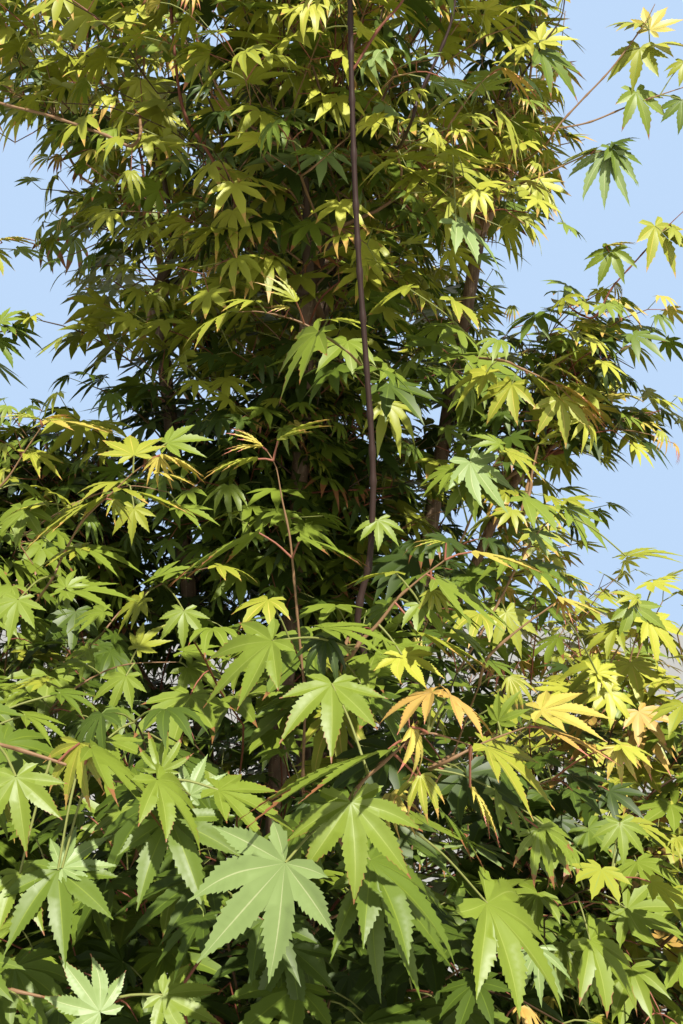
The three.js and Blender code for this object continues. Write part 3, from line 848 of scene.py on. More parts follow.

# %% Leaves in front, by picture point
# across and down of the stalk's foot, of the blade's foot and of its tip, depth, how much nearer
# the tip is in mm, how far the blade faces the eye from 0 to 1, form and spray colour
# the pale sprays in this table are a painted sheen, the bright ones painted sunlight, and the shade ones
# painted shade
LEAF_TABLE = """
293 557 259 533 168 570 0.78 0 -0.03 6 fresh_tipped
293 557 301 538 368 556 0.78 4 0.04 6 fresh_tipped
275 463 278 441 322 414 0.78 0 0.12 7 lime_tipped
275 463 258 459 208 465 0.78 0 0 7 lime_tipped
265 450 262 447 228 444 0.78 0 0.1 7 amber
265 450 262 447 237 426 0.78 0 0.15 7 amber
372 521 378 520 381 548 0.93 20 0.4 2 fresh
445 560 472 552 543 562 0.74 0 0.1 6 yellow
447 548 446 543 417 538 0.74 0 0.05 7 lime_tipped
432 575 432 590 446 620 0.74 10 0.4 4 lime_tipped
409 588 395 573 344 575 0.74 0 0.05 1 lime
425 577 435 580 516 619 0.74 8 0.14 6 fresh
409 590 420 604 449 632 0.74 20 0.4 2 fresh
398 598 388 606 352 628 0.76 0 0.3 1 mid
405 612 417 632 492 660 0.73 0 -0.04 6 lime_tipped
430 625 450 628 503 656 0.76 0 0.08 1 fresh
398 640 402 655 426 688 0.73 28 0.3 0 bright_tipped
557 602 558 598 608 609 0.76 0 0.12 6 yellow
557 602 560 600 574 620 0.76 8 0.3 7 coral
527 727 541 710 611 706 0.7 0 0.26 1 yellow
527 727 542 728 618 751 0.7 0 0.03 6 coral
485 743 487 747 560 791 0.7 4 0.2 1 lime_tipped
500 738 498 722 516 690 0.71 0 0.3 1 fresh
428 733 432 692 372 714 0.62 0 0.12 2 coral
428 733 449 695 508 734 0.62 0 0.12 2 coral
428 733 411 727 443 781 0.61 0 0.2 4 amber
404 745 388 750 248 790 0.59 0 -0.16 6 fresh_tipped
470 745 470 787 503 832 0.63 0 0.1 7 amber
430 790 438 808 489 859 0.64 0 0 6 mid_tipped
404 745 420 775 425 815 0.63 20 0.3 4 lime_tipped
133 475 134 455 131 426 0.85 -30 0.5 1 lime_tipped
152 459 160 455 204 469 0.85 0 0.08 7 yellow
152 459 159 456 157 484 0.85 6 0.3 7 yellow
145 465 157 472 201 481 0.85 0 0.08 6 yellow
114 491 120 489 198 504 0.85 0 0.06 6 lime_tipped
107 497 107 496 26 531 0.85 0 0.1 6 lime_tipped
107 500 112 500 124 521 0.85 4 0.3 7 lime_tipped
68 546 81 548 32 560 0.85 5 0.22 1 lime_tipped
68 546 80 548 140 558 0.85 0 0.15 1 fresh
58 566 66 591 131 586 0.8 0 0.16 1 fresh
58 566 66 588 74 564 0.8 -15 0.2 2 fresh
30 575 18 600 4 636 0.78 22 0.5 1 fresh
42 426 43 420 66 412 0.95 0 0.15 7 amber
42 426 40 420 10 409 0.95 0 0.1 7 lime_tipped
42 426 50 421 118 424 0.95 0 0.13 6 yellow
300 644 272 641 198 688 0.68 4 0.42 1 fresh_tipped
305 690 332 684 327 741 0.67 40 0.3 1 fresh_tipped
305 660 323 628 400 630 0.72 0 0.1 1 fresh
330 838 285 863 200 960 0.555 4 0.62 0 pale
349 801 351 802 363 901 0.585 30 0.4 2 fresh_tipped
338 830 370 860 478 945 0.62 10 0.2 2 mid
338 830 372 866 425 985 0.64 20 0.2 6 mid
158 779 218 790 296 815 0.62 0 0.2 1 fresh_tipped
158 779 160 772 167 729 0.63 -10 0.5 6 fresh_tipped
170 785 190 795 206 755 0.64 -10 0.5 1 pale
121 782 170 818 197 893 0.6 36 0.4 1 mid
58 762 80 743 60 802 0.62 6 0.3 6 lime_tipped
80 765 90 748 180 812 0.6 0 0 6 fresh_tipped
121 782 157 780 217 843 0.59 8 0.1 2 fresh_tipped
-5 745 16 777 20 845 0.58 20 0.4 1 fresh_tipped
40 850 58 870 57 947 0.6 38 0.4 1 mid
58 860 62 868 107 832 0.6 -15 0.45 1 pale
10 870 20 873 37 921 0.6 25 0.4 1 fresh_tipped
20 750 25 715 74 733 0.66 0 0.05 1 fresh
50 715 60 693 101 704 0.72 0 0.15 1 mid_tipped
90 773 106 740 112 768 0.66 35 0.2 1 fresh
98 1003 100 1012 60 958 0.59 -8 0.5 0 pale_tipped
98 1003 163 995 222 1025 0.6 8 0.45 0 fresh_tipped
250 960 290 947 297 1015 0.66 30 0.4 1 shade
465 870 487 903 588 1000 0.68 10 0.25 2 fresh
515 905 537 947 541 1002 0.74 14 0.4 6 pale
560 905 590 940 655 1008 0.8 10 0.3 2 fresh_tipped
480 780 495 790 546 834 0.74 0 0.2 2 fresh
520 815 538 828 556 884 0.75 10 0.3 6 fresh_tipped
520 815 545 826 590 860 0.76 0 0.15 1 fresh
600 800 620 823 628 866 0.8 18 0.35 2 fresh
600 800 628 822 684 838 0.82 0 0.1 1 lime
600 735 620 745 667 756 0.86 0 0.2 2 bright_tipped
600 735 618 746 622 782 0.86 10 0.3 6 yellow
576 655 597 673 616 660 0.84 -12 0.4 1 bright
576 655 598 675 614 694 0.84 12 0.3 1 bright
640 580 626 556 682 544 0.95 0 0.1 1 lime
262 312 255 301 213 298 0.96 0 0.2 2 lime_tipped
238 312 228 312 172 341 0.96 0 0.16 2 lime_tipped
285 318 290 308 270 305 0.96 0 0.3 7 amber
300 322 296 302 272 274 0.96 0 0.3 7 lime_tipped
335 343 318 332 268 388 0.96 0 0.3 1 fresh_tipped
320 334 328 320 372 318 0.96 0 0.2 1 lime
520 368 528 374 568 400 1.06 0 0.12 6 lime_tipped
556 385 562 386 606 412 1.06 0 0.1 6 coral
574 402 578 406 607 424 1.06 0 0.1 7 coral
540 378 550 366 590 378 1.06 0 0.14 1 lime_tipped
497 72 501 69 538 90 1.08 0 0.2 7 coral
486 78 492 106 545 146 1.08 0 0.24 3 lime_tipped
470 92 460 94 424 112 1.08 0 0.2 1 lime
440 128 398 158 356 176 1.08 0 0.2 1 lime_tipped
448 118 456 222 512 262 1.09 0 0.36 2 pale
158 587 184 611 180 645 0.97 20 0.4 1 fresh
185 574 178 572 128 580 0.99 0 0.15 1 fresh
215 566 218 566 262 574 0.99 0 0.14 2 lime_tipped
150 590 142 600 112 628 0.98 8 0.3 1 lime
150 590 156 578 192 560 0.99 -4 0.25 1 fresh
120 612 104 612 62 626 0.98 6 0.3 1 fresh
96 640 88 650 58 676 0.96 10 0.3 2 fresh
152 459 167 443 210 433 0.88 -4 0.45 1 fresh
168 492 180 508 218 516 1.03 6 0.25 1 fresh
130 486 120 482 70 486 1.03 0 0.15 2 lime_tipped
130 486 134 508 128 540 1.03 12 0.35 1 lime
92 496 78 506 40 522 1.02 8 0.25 1 lime_tipped
60 512 44 504 6 508 1.02 0 0.2 1 bright_tipped
6 480 4 470 -30 482 0.97 6 0.25 2 lime_tipped
25 451 30 452 62 470 0.96 6 0.2 1 lime_tipped
180 662 188 668 236 694 0.89 10 0.3 2 fresh
180 662 184 652 232 652 0.89 0 0.2 1 fresh
130 664 126 676 104 712 0.89 18 0.4 1 fresh
130 664 138 648 162 622 0.9 -8 0.4 1 lime
95 676 84 664 44 660 0.89 0 0.2 1 fresh_tipped
60 700 46 682 8 680 0.88 0 0.2 1 lime
520 368 512 384 484 420 1.06 14 0.3 2 lime_tipped
556 385 560 398 566 440 1.06 16 0.35 1 lime_tipped
498 360 486 372 452 398 1.06 10 0.3 1 bright
2 243 0 240 34 236 1.2 0 0.2 7 amber
-15 250 -10 250 8 272 1.2 10 0.3 2 lime_tipped
8 330 4 326 34 332 1.18 0 0.25 2 mid_tipped
-5 334 -4 340 18 364 1.18 10 0.35 2 mid
8 330 0 322 22 306 1.18 -6 0.4 1 fresh
643 26 640 24 604 20 1.34 0 0.3 2 lime_tipped
643 26 650 30 668 2 1.34 -8 0.5 1 yellow
650 20 650 46 692 40 1.34 0 0.25 2 bright_tipped
625 52 640 48 630 84 1.34 14 0.4 1 lime
660 95 684 62 681 84 1.34 12 0.3 2 lime
629 106 636 92 652 130 1.34 12 0.4 1 fresh_tipped
660 95 682 100 682 132 1.34 12 0.3 2 mid
608 150 612 148 640 176 1.32 10 0.4 1 mid
608 150 606 152 604 200 1.32 16 0.4 6 pale
590 154 596 150 556 160 1.32 0 0.1 6 lime
608 150 612 144 640 132 1.32 0 0.3 2 shade
662 232 655 226 680 268 1.34 14 0.4 1 lime_tipped
662 232 672 228 698 250 1.34 8 0.3 2 lime
635 262 612 250 598 284 1.34 12 0.35 2 fresh
620 278 606 246 632 240 1.34 0 0.2 7 yellow
540 205 564 224 592 238 1.3 4 0.3 2 fresh
546 40 540 52 582 88 1.3 10 0.4 1 mid_tipped
546 40 540 42 568 20 1.3 -8 0.5 1 bright
546 40 528 44 494 60 1.3 4 0.3 2 bright_tipped
486 480 470 462 508 514 1.02 12 0.4 0 pale
486 480 474 476 440 516 1.03 10 0.35 2 fresh
470 520 452 470 418 490 1.02 6 0.3 1 fresh
500 455 508 452 548 472 1.02 4 0.25 1 lime_tipped
500 455 500 444 470 430 1.02 -4 0.35 2 fresh
540 530 524 498 588 526 1 6 0.25 2 fresh
540 530 532 532 564 548 1 8 0.3 1 pale
560 512 568 508 612 540 1 8 0.3 1 fresh
560 512 566 500 602 490 1 0 0.2 2 lime_tipped
520 560 530 566 584 582 1 6 0.25 1 mid_tipped
520 560 510 556 474 574 1 8 0.3 1 fresh
500 600 506 612 522 652 1 16 0.4 1 lime
640 610 632 604 650 648 1.05 14 0.4 1 fresh
640 610 648 620 686 658 1.05 12 0.35 1 bright
628 632 616 628 582 648 1.05 6 0.3 2 lime
640 610 636 598 610 588 1.05 0 0.3 2 lime_tipped
612 660 600 664 560 690 1.04 8 0.3 1 lime
440 332 408 288 362 306 1.06 0 0.26 1 lime
460 342 452 300 505 330 1.06 0 0.26 2 lime_tipped
"""
# circles kept clear: share of a leaf's reach, px round a twig, px between two of them
LEAF_CLEAR, TWIG_CLEAR, CLEAR_STEP = 0.55, 15, 20
# a twig further away than this in metres needs no clear view
CLEAR_TO = 1.0
FRONT_LEAVES = []
for *numbers, form, spray in rows_of(LEAF_TABLE):
    numbers = [float(n) for n in numbers]
    FRONT_LEAVES.append((numbers[:2], numbers[2:4], numbers[4:6], *numbers[6:], int(form), spray))


def clear_circles():
    """Circles of the picture in which no grown leaf may stand before a leaf or twig in front."""
    circles = []
    for _, blade, tip, depth, *_ in FRONT_LEAVES:
        middle = ((blade[0] + tip[0]) / 2, (blade[1] + tip[1]) / 2)
        circles.append((*middle, math.dist(blade, tip) * LEAF_CLEAR, depth))
    for _, _, depth, _, _, points in FRONT_TWIGS:
        if depth > CLEAR_TO:
            continue
        for (x, y), end in zip(points, points[1:]):
            for share in np.arange(0, 1, CLEAR_STEP / max(CLEAR_STEP, math.dist((x, y), end))):
                spot = (x + (end[0] - x) * share, y + (end[1] - y) * share)
                circles.append((*spot, TWIG_CLEAR, depth))
    return np.array(circles)


CIRCLES = clear_circles()
print(len(FRONT_LEAVES), "leaves in front and", len(CIRCLES), "places kept clear before them")

# %% [markdown]
# ## Growing the crown
# A maple shoot lengthens from its tip, and each year's shoots start beside the last ones, so
# every leaf hangs on an unbroken way back to the trunk. Blender's scattering tools would leave
# the leaves in the air. Instead, each mass gets places for its shoots, mostly near its skin, and
# a branching rule joins them from the limb's end: the next place to be joined is always the one
# whose new wood and way home together are shortest. Wood thickens with the tips that it feeds.

# %% The masses of foliage, measured
LEAST_REACH = 0.05
STEM_STEP = 0.07
STEM_FROM, STEM_TO = 0.02, 0.05
COVER_GAP, COVER_REACH = 0.02, 0.12
MASS_NAMES = [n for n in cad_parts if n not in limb_lines]
mass_surfaces = {n: BVHTree.FromBMesh(merged_copy(n)) for n in MASS_NAMES}
mass_centres = {n: np.array(sum(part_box(n), Vector()) / 2) for n in MASS_NAMES}
LIMB_OF = {"top": "stem_centre"}
for name in STEM_NAMES + BOUGH_NAMES:
    mass = name.replace("bough_mid", "mid").replace("bough", "skirt").replace("stem", "upper")
    if mass in MASS_NAMES:
        LIMB_OF[mass] = name


def reach_of(name, directions):
    """How far a mass goes from its centre in each direction."""
    centre, tree = Vector(mass_centres[name]), mass_surfaces[name]
    return np.array([tree.ray_cast(centre, Vector(d))[3] or LEAST_REACH for d in directions])


def covered(name, place, direction):
    """Whether another mass lies close beyond a place."""
    start, way = Vector(place + direction * COVER_GAP), Vector(direction)
    others = [mass_surfaces[other] for other in MASS_NAMES if other != name]
    return any(tree.ray_cast(start, way, COVER_REACH)[3] is not None for tree in others)


def stem_places(name):
    """Places along the stems inside a mass, where side twigs can start."""
    low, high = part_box(name)
    found = []
    for stem in STEM_NAMES:
        line, _ = limb_lines[stem]
        heights = np.arange(low.z + STEM_FROM, high.z - STEM_TO, STEM_STEP)
        heights = heights[(heights > line[0][2]) & (heights < line[-1][2])]
        found.extend(point_at(z, line) for z in heights)
    return np.array(found)


print(len(MASS_NAMES), "masses,", len(LIMB_OF), "of them fed by one limb")

# %% The branching rule
def join_places(places, roots, balance):
    """Which place each one grows from; the first `roots` places are wood already."""
    count = len(places)
    parent = np.full(count, -1)
    way = np.zeros(count)
    cost = np.full(count, np.inf)
    link = np.zeros(count, int)
    joined = np.arange(count) < roots
    for root in range(roots):
        gap = gaps(places, places[root])
        link[gap < cost] = root
        cost = np.minimum(cost, gap)
    for _ in range(count - roots):
        new = int(np.where(joined, np.inf, cost).argmin())
        parent[new] = link[new]
        way[new] = way[link[new]] + np.linalg.norm(places[new] - places[link[new]])
        joined[new] = True
        offer = gaps(places, places[new]) + balance * way[new]
        better = offer < cost
        cost[better] = offer[better]
        link[better] = new
    return parent


def tips_fed(parent):
    """How many twig tips each place feeds, and which places grow from it."""
    children = [[] for _ in parent]
    for place, home in enumerate(parent):
        if home >= 0:
            children[home].append(place)
    order = []
    stack = [place for place, home in enumerate(parent) if home < 0]
    while stack:
        order.append(stack.pop())
        stack.extend(children[order[-1]])
    fed = np.zeros(len(parent))
    for place in reversed(order):
        fed[place] = max(1.0, sum(fed[c] for c in children[place]))
    return fed, children


def chains_of(fed, children, roots):
    """Cuts the branching into unbroken runs of wood; each goes on along its stoutest branch."""
    chains = []
    starts = [(root, child) for root in range(roots) for child in children[root]]
    while starts:
        home, place = starts.pop()
        chain = [home, place]
        while children[place]:
            ahead = sorted(children[place], key=lambda c: -fed[c])
            starts.extend((place, c) for c in ahead[1:])
            place = ahead[0]
            chain.append(place)
        chains.append(chain)
    return chains


print("the branching rule joins 3 places:", join_places(np.eye(3), 1, 0.5))

# %% Where shoots grow
GOLDEN_TURN = math.pi * (3 - math.sqrt(5))
OFF_EVEN = 0.6
SKIN_MARGIN = 0.018
LEAST_TIP = 0.03
INNER_REACH = (0.12, 0.66)
# a place that keeps a smaller share of its shoots than this gets none at all
CLOSED_SHARE = 0.15
SKY_FROM = 0.3
SPUR_WOOD = 0.0024
SPUR_FLOOR = 0.50
HIGH_FROM, HIGH_SPUR = 1.5, 1.25
# picture left, top, right and bottom of places where sky shows, and the share of shoots there
SKY_PLACES = (
    (-60, 130, 25, 290, 0.05), (-60, 290, 30, 400, 0.6), (30, 300, 150, 410, 0.7),
    (60, 110, 200, 300, 0.65), (500, -60, 560, 60, 0.5), (575, -60, 743, 60, 0.1),
    (545, 60, 585, 165, 0.4), (585, 60, 743, 165, 0.1), (555, 165, 743, 285, 0.12),
    (560, 285, 743, 400, 0.32), (600, 425, 743, 520, 0.16), (480, 300, 560, 470, 0.5),
    (570, 400, 743, 425, 0.4), (560, -160, 743, -60, 0.6),
)


def spread_directions(count, rng):
    """Directions spread evenly over a sphere, each a little off its place."""
    steps = np.arange(count) + 0.5
    height = 1 - 2 * steps / count
    ring = np.sqrt(1 - height**2)
    turn = steps * GOLDEN_TURN + rng.uniform(0, 6.28)
    even = np.stack([ring * np.cos(turn), ring * np.sin(turn), height], axis=1)
    return unit(even + rng.normal(0, OFF_EVEN / math.sqrt(count), (count, 3)))


def shoot_paths(name, spec, rng):
    """Feet and tips for the shoots of a mass: mostly at its skin, fewer where it is covered."""
    feet, tips, shaded = [], [], []
    for layer, (share, low, high) in enumerate(spec["layers"]):
        directions = spread_directions(int(spec["shoots"] * share), rng)
        for direction, far in zip(directions, reach_of(name, directions)):
            reach = max(LEAST_TIP, far * rng.uniform(low, high) - SKIN_MARGIN)
            tip = mass_centres[name] + direction * reach
            hidden = covered(name, tip, direction)
            if rng.random() > (spec["inside"] if hidden else 1.0):
                continue
            out = unit((tip - UPWARD * spec["hub"]) * np.array([1, 1, spec["rise"]]))
            lie = unit(direction * 0.45 + out * 0.65 + rng.normal(0, 0.18, 3))
            feet.append(tip - lie * rng.uniform(*spec["length"]))
            tips.append(tip)
            shaded.append(layer > 0 or hidden)
    return np.array(feet), np.array(tips), np.array(shaded)


def sky_share(places):
    """The share of shoots to keep at each place, so that sky shows as in the photograph."""
    across, down, depth = to_pixels(places)
    share = np.ones(len(places))
    for left, top, right, bottom, kept in SKY_PLACES:
        inside = (across > left) & (across < right) & (down > top) & (down < bottom)
        inside &= depth > SKY_FROM
        share[inside] = np.minimum(share[inside], kept)
    return share


def inner_places(name, count, rng):
    """Places for the older wood inside a mass."""
    directions = unit(rng.normal(0, 1, (count, 3)))
    reach = reach_of(name, directions) * rng.uniform(*INNER_REACH, count)
    return mass_centres[name] + directions * reach[:, None]


def spur_paths(line, radii, step, reach, rng):
    """Foot and tip of short side shoots on stout wood, which keep its bare length leafy."""
    marks = marks_of(line)
    spurs = []
    for at in np.arange(step * rng.uniform(0.3, 1.0), marks[-1], step):
        number = int(np.searchsorted(marks, at)) - 1
        foot = line[number]
        if radii[number] < SPUR_WOOD or foot[2] < SPUR_FLOOR:
            continue
        along = unit(line[number + 1] - foot)
        side = rng.normal(0, 1, 3)
        side = unit(side - along * (side @ along))
        lie = unit(side + along * 0.35 + UPWARD * 0.25)
        longer = HIGH_SPUR if foot[2] > HIGH_FROM else 1.0
        spurs.append((foot, foot + lie * rng.uniform(*reach) * longer))
    return spurs


def shoot_curve(foot, tip, droop, rng):
    """A young shoot from foot to tip: it leaves rising and ends nodding."""
    along = tip - foot
    length = np.linalg.norm(along)
    sideways = unit(np.cross(along, UPWARD) + 1e-6) * rng.normal(0, 0.05) * length
    first = foot + along * 0.34 + UPWARD * droop * length * 0.75 + sideways
    second = foot + along * 0.70 + UPWARD * droop * length * 0.80 + sideways * 0.6
    return np.array([foot, first, second, tip])


print("12 spread directions, first:", spread_directions(12, np.random.default_rng(1))[0].round(2))

# %% Grow the wood of one mass
TIP_RADIUS = 0.0008
THICKENING = 1 / 2.3
INNER_SHARE = 0.45
RUN_STEP, SHOOT_STEP, SPUR_RUN_STEP = 0.034, 0.01, 0.02
END_NARROWING = 0.7
# step along the wood and length of the spurs, on grown wood and on a stem
WOOD_SPURS = (0.06, (0.09, 0.15))
STEM_SPURS = (0.038, (0.10, 0.19))
SPUR_RADII = (0.0014, 0.0012, 0.0010, TIP_RADIUS)
SPUR_DROOP = 0.1


def grow_wood(name, spec, rng):
    """Twig runs and leafy shoots of a mass, joined back to its limb or to the stems in it."""
    feet, tips, shaded = shoot_paths(name, spec, rng)
    share = np.minimum(sky_share(tips), sky_share((feet + tips) / 2))
    kept = (rng.random(len(tips)) < share) & (share > CLOSED_SHARE)
    feet, tips, shaded = feet[kept], tips[kept], shaded[kept]
    inner = inner_places(name, int(len(feet) * INNER_SHARE), rng)
    inner = inner[sky_share(inner) > CLOSED_SHARE]
    limb, limb_radii = limb_lines[LIMB_OF[name]] if name in LIMB_OF else (None, None)
    roots = stem_places(name) if limb is None else limb[-1:]
    places = np.vstack([roots, inner, feet])
    parent = join_places(places, len(roots), spec["balance"])
    curves = [shoot_curve(f, t, spec["droop"] * rng.uniform(0.6, 1.3), rng)
              for f, t in zip(feet, tips)]
    # the three places after the foot of each shoot grow from one another
    homes = np.arange(3 * len(curves)) + len(places) - 1
    homes[::3] = np.arange(len(curves)) + len(roots) + len(inner)
    fed, children = tips_fed(np.hstack([parent, homes]))
    places = np.vstack([places, *(curve[1:] for curve in curves)])
    radius = TIP_RADIUS * fed**THICKENING
    if limb is not None:
        radius *= 1 + (limb_radii[-1] / radius[0] - 1) * (fed / fed[0])
    runs = []
    for chain in chains_of(fed, children, len(roots)):
        thick = radius[chain]
        if limb is None or chain[0] != 0:
            thick[0] = thick[1]
        thick[-1] *= END_NARROWING
        runs.append(smooth_line(places[chain], thick, RUN_STEP))
    shoots = [(smooth_line(c, np.zeros(4), SHOOT_STEP)[0], s) for c, s in zip(curves, shaded)]
    bare = [(*run, *WOOD_SPURS) for run in runs if run[1][0] > SPUR_WOOD]
    bare += [(*limb_lines[stem], *STEM_SPURS) for stem in spec["stems"]]
    for wood in bare:
        for foot, tip in spur_paths(*wood, rng):
            if sky_share(tip[None])[0] >= CLOSED_SHARE:
                curve = shoot_curve(foot, tip, SPUR_DROOP, rng)
                runs.append(smooth_line(curve, SPUR_RADII, SPUR_RUN_STEP))
                shoots.append((smooth_line(curve, np.zeros(4), SHOOT_STEP)[0], True))
    return runs, shoots


print("wood is grown by one function for every mass")

# %% [markdown]
# ## Dealing out the leaves
# Leaves of this maple stand in pairs, each on a thin stalk. Along a shoot the pairs turn by a
# right angle, but the stalks twist so that the blades all face the light. The blades lie nearly
# level low down and hang more the higher they are. A spray shares one colour, with the youngest
# pair at its tip sometimes yellow or coral.

# %% Colours of the sprays
# colours of the blade, its veins and its tips
SPRAYS = {
    "deep": ("deep", "shade", "deep"), "shade": ("shade", "mid", "shade"),
    "mid": ("mid", "fresh", "mid"), "mid_tipped": ("mid", "fresh", "rust"),
    "fresh": ("fresh", "vein", "fresh"), "fresh_tipped": ("fresh", "vein", "rust"),
    "lime": ("lime", "vein", "lime"), "lime_tipped": ("lime", "yellow", "amber"),
    "bright": ("bright", "yellow", "bright"), "bright_tipped": ("bright", "yellow", "amber"),
    "pale": ("pale", "pale_vein", "pale"), "pale_tipped": ("pale", "pale_vein", "rust"),
    "yellow": ("yellow", "lime", "amber"), "coral": ("amber", "yellow", "coral"),
    "amber": ("yellow", "amber", "coral"),
}
SPRAY_NAMES = list(SPRAYS)
SPRAY_COLOURS = np.array([[LEAF[c] for c in colours] for colours in SPRAYS.values()])
# shares of the spray colours at each level: inside deals the deep and shade greens to covered shoots as
# painted shade, and the darker greens low down and in the middle are partly leaf tone and partly painted
# shade
SHARES = {
    "inside": {"deep": 6, "shade": 5, "mid": 2.5, "fresh": 0.5},
    # pale in the low level is a painted sheen of the sky
    "low": {"deep": 3, "shade": 6, "mid": 7, "mid_tipped": 3, "fresh": 5, "fresh_tipped": 3,
            "pale": 0.9, "pale_tipped": 0.4, "lime": 2, "lime_tipped": 1},
    "middle": {"deep": 2, "shade": 4, "mid": 6, "mid_tipped": 2, "fresh": 6, "fresh_tipped": 1,
               "lime": 3, "lime_tipped": 1},
    # high and sunny: the bright and lime greens are painted sunlight glowing through the leaves
    "high": {"mid": 2, "fresh": 4, "fresh_tipped": 2, "lime": 8, "lime_tipped": 3,
             "bright": 9, "bright_tipped": 5, "yellow": 0.6, "pale": 0.8},
    "sunny": {"mid": 2, "fresh": 4, "fresh_tipped": 2, "lime": 7, "lime_tipped": 5,
              "bright": 5, "bright_tipped": 4, "yellow": 0.8, "pale": 0.8, "coral": 0.4},
}
LOW_TO, MIDDLE_TO = 1.22, 1.55
# the sunny side, right of this and above that height, gets the brighter greens as painted sunlight
SUNNY_FROM, SUNNY_ABOVE = 0.26, 0.9
# the share of covered shoots that get the inside colours, which are painted shade
SHADED_SHARE = {"low": 0.9, "middle": 0.75, "high": 0.35, "sunny": 0.35}


def deal_spray(place, shaded, rng):
    """The spray colour for a shoot at some place: brighter high up and on the sunny side as painted
    sunlight, darker for covered shoots as painted shade.
    """
    height = place[2]
    level = "low" if height < LOW_TO else "middle" if height < MIDDLE_TO else "high"
    if place[0] > SUNNY_FROM and height > SUNNY_ABOVE:
        level = "sunny"
    if shaded and rng.random() < SHADED_SHARE[level]:
        level = "inside"
    names = list(SHARES[level])
    weights = np.array(list(SHARES[level].values()), float)
    return SPRAY_NAMES.index(names[rng.choice(len(names), p=weights / weights.sum())])


print(len(SPRAYS), "spray colours")

# %% Leaves of one shoot
LEAF_SIZE = (0.052, 0.066)
PAIR_STEP = (0.034, 0.048)
STALK_LENGTH = (0.026, 0.042)
BARE_FOOT = 0.015
LOOK_BACK = 0.012
# turn of a pair about its shoot in degrees, mean and spread, one pair after the other
PAIR_TURNS = ((8, 12), (58, 14))
# a leaf is smaller near the tip of its shoot
GROWTH_MARKS, GROWTH_SIZES = (0.0, 0.05, 0.12), (0.62, 0.92, 1.0)
TIP_LEAD, PAIR_LEAD = 0.95, 0.55
ROLL_SPREAD = 17
OTHER_SPRAY = 0.22
YOUNG_SPRAYS = ("lime_tipped", "lime_tipped", "yellow", "coral")


def leaves_on_shoot(line, shaded, spec, rng, leaves):
    """Appends the leaves of one shoot: foot, blade foot, axis, normal, size, spray and form."""
    marks = marks_of(line)
    spray = deal_spray(line[-1], shaded, rng)
    young = rng.random() < spec["young"]
    at = marks[-1]
    number = int(rng.integers(0, 2))
    first = True
    while at > BARE_FOOT:
        foot, back = (np.array([np.interp(mark, marks, line[:, k]) for k in range(3)])
                      for mark in (at, max(0, at - LOOK_BACK)))
        tangent = unit(foot - back)
        level_side = unit(np.cross(tangent, UPWARD) + 1e-6)
        turn = math.radians(rng.normal(*PAIR_TURNS[number % 2]))
        pair = level_side * math.cos(turn) + np.cross(level_side, tangent) * math.sin(turn)
        growth = np.interp(marks[-1] - at, GROWTH_MARKS, GROWTH_SIZES)
        for sign in (-1, 1):
            if rng.random() < spec["missing"]:
                continue
            lead = tangent * (TIP_LEAD if first else PAIR_LEAD)
            stalk = unit(pair * sign * 0.8 + lead + UPWARD * 0.12 + rng.normal(0, 0.1, 3))
            head = foot + stalk * rng.uniform(*STALK_LENGTH) * (0.5 + 0.5 * growth)
            level = stalk * np.array([1, 1, 0.15]) + tangent * np.array([1, 1, 0]) * 0.25
            level = unit(level + rng.normal(0, 0.12, 3))
            droop = math.radians(rng.uniform(*spec["hang"]))
            axis = level * math.cos(droop) - UPWARD * math.sin(droop)
            normal = UPWARD * math.cos(droop) + level * math.sin(droop)
            roll = math.radians(rng.normal(0, ROLL_SPREAD))
            normal = normal * math.cos(roll) + np.cross(axis, normal) * math.sin(roll)
            size = rng.uniform(*LEAF_SIZE) * spec["size"] * growth
            colour = spray
            if first and young:
                colour = SPRAY_NAMES.index(rng.choice(YOUNG_SPRAYS))
            elif rng.random() < OTHER_SPRAY:
                colour = deal_spray(foot, shaded, rng)
            form = YOUNG_SHAPE if first and young else rng.choice(5, p=spec["forms"])
            leaves.append((foot, head, axis, normal, size, colour, form))
        first = False
        number += 1
        at -= rng.uniform(*PAIR_STEP)


print("leaves stand", PAIR_STEP, "m apart along a shoot")

# %% How each mass grows
# layers: share of the shoots, and how far out their tips stand, from and to
# hub: height that shoots lead away from, rise: how steeply, balance: how much the way home counts
# droop: nod of a shoot, hang: how far blades hang in degrees, young: share of young shoot tips
# inside: share of shoots kept where another mass covers them, forms: shares of the leaf forms
SKIRT = {"shoots": 88, "layers": ((0.70, 0.88, 1.0), (0.30, 0.45, 0.8)), "length": (0.11, 0.20),
         "hub": 0.55, "rise": 0.75, "balance": 0.5, "droop": 0.09, "hang": (0, 36), "young": 0.06,
         "missing": 0.05, "size": 1.0, "inside": 0.35, "forms": (0.32, 0.34, 0.22, 0.09, 0.03),
         "stems": ()}
UPPER = dict(SKIRT, shoots=96, hub=1.35, rise=0.9, droop=0.10, hang=(4, 50), young=0.12,
             forms=(0.10, 0.22, 0.30, 0.23, 0.15))
MIDDLE = dict(SKIRT, shoots=86, hub=1.0, rise=0.6, hang=(4, 46), young=0.06, inside=0.75,
              forms=(0.2, 0.3, 0.27, 0.15, 0.08))
OWN_GROWTH = {
    "skirt_left": {"shoots": 122, "inside": 0.6},
    "skirt_front_left": {"shoots": 122, "inside": 0.6},
    "skirt_front": {"shoots": 104, "inside": 0.6},
    "skirt_front_right": {"shoots": 104, "inside": 0.6, "young": 0.15},
    "skirt_right": {"young": 0.15},
    "mid_core_front": {"stems": ("stem_front", "stem_left", "stem_right")},
    "mid_core_back": {"stems": ("stem_back", "stem_centre")},
    "mid_left": {"stems": ("bough_mid_left",)},
    "mid_right": {"stems": ("bough_mid_right",)},
}
GROWTH = {}
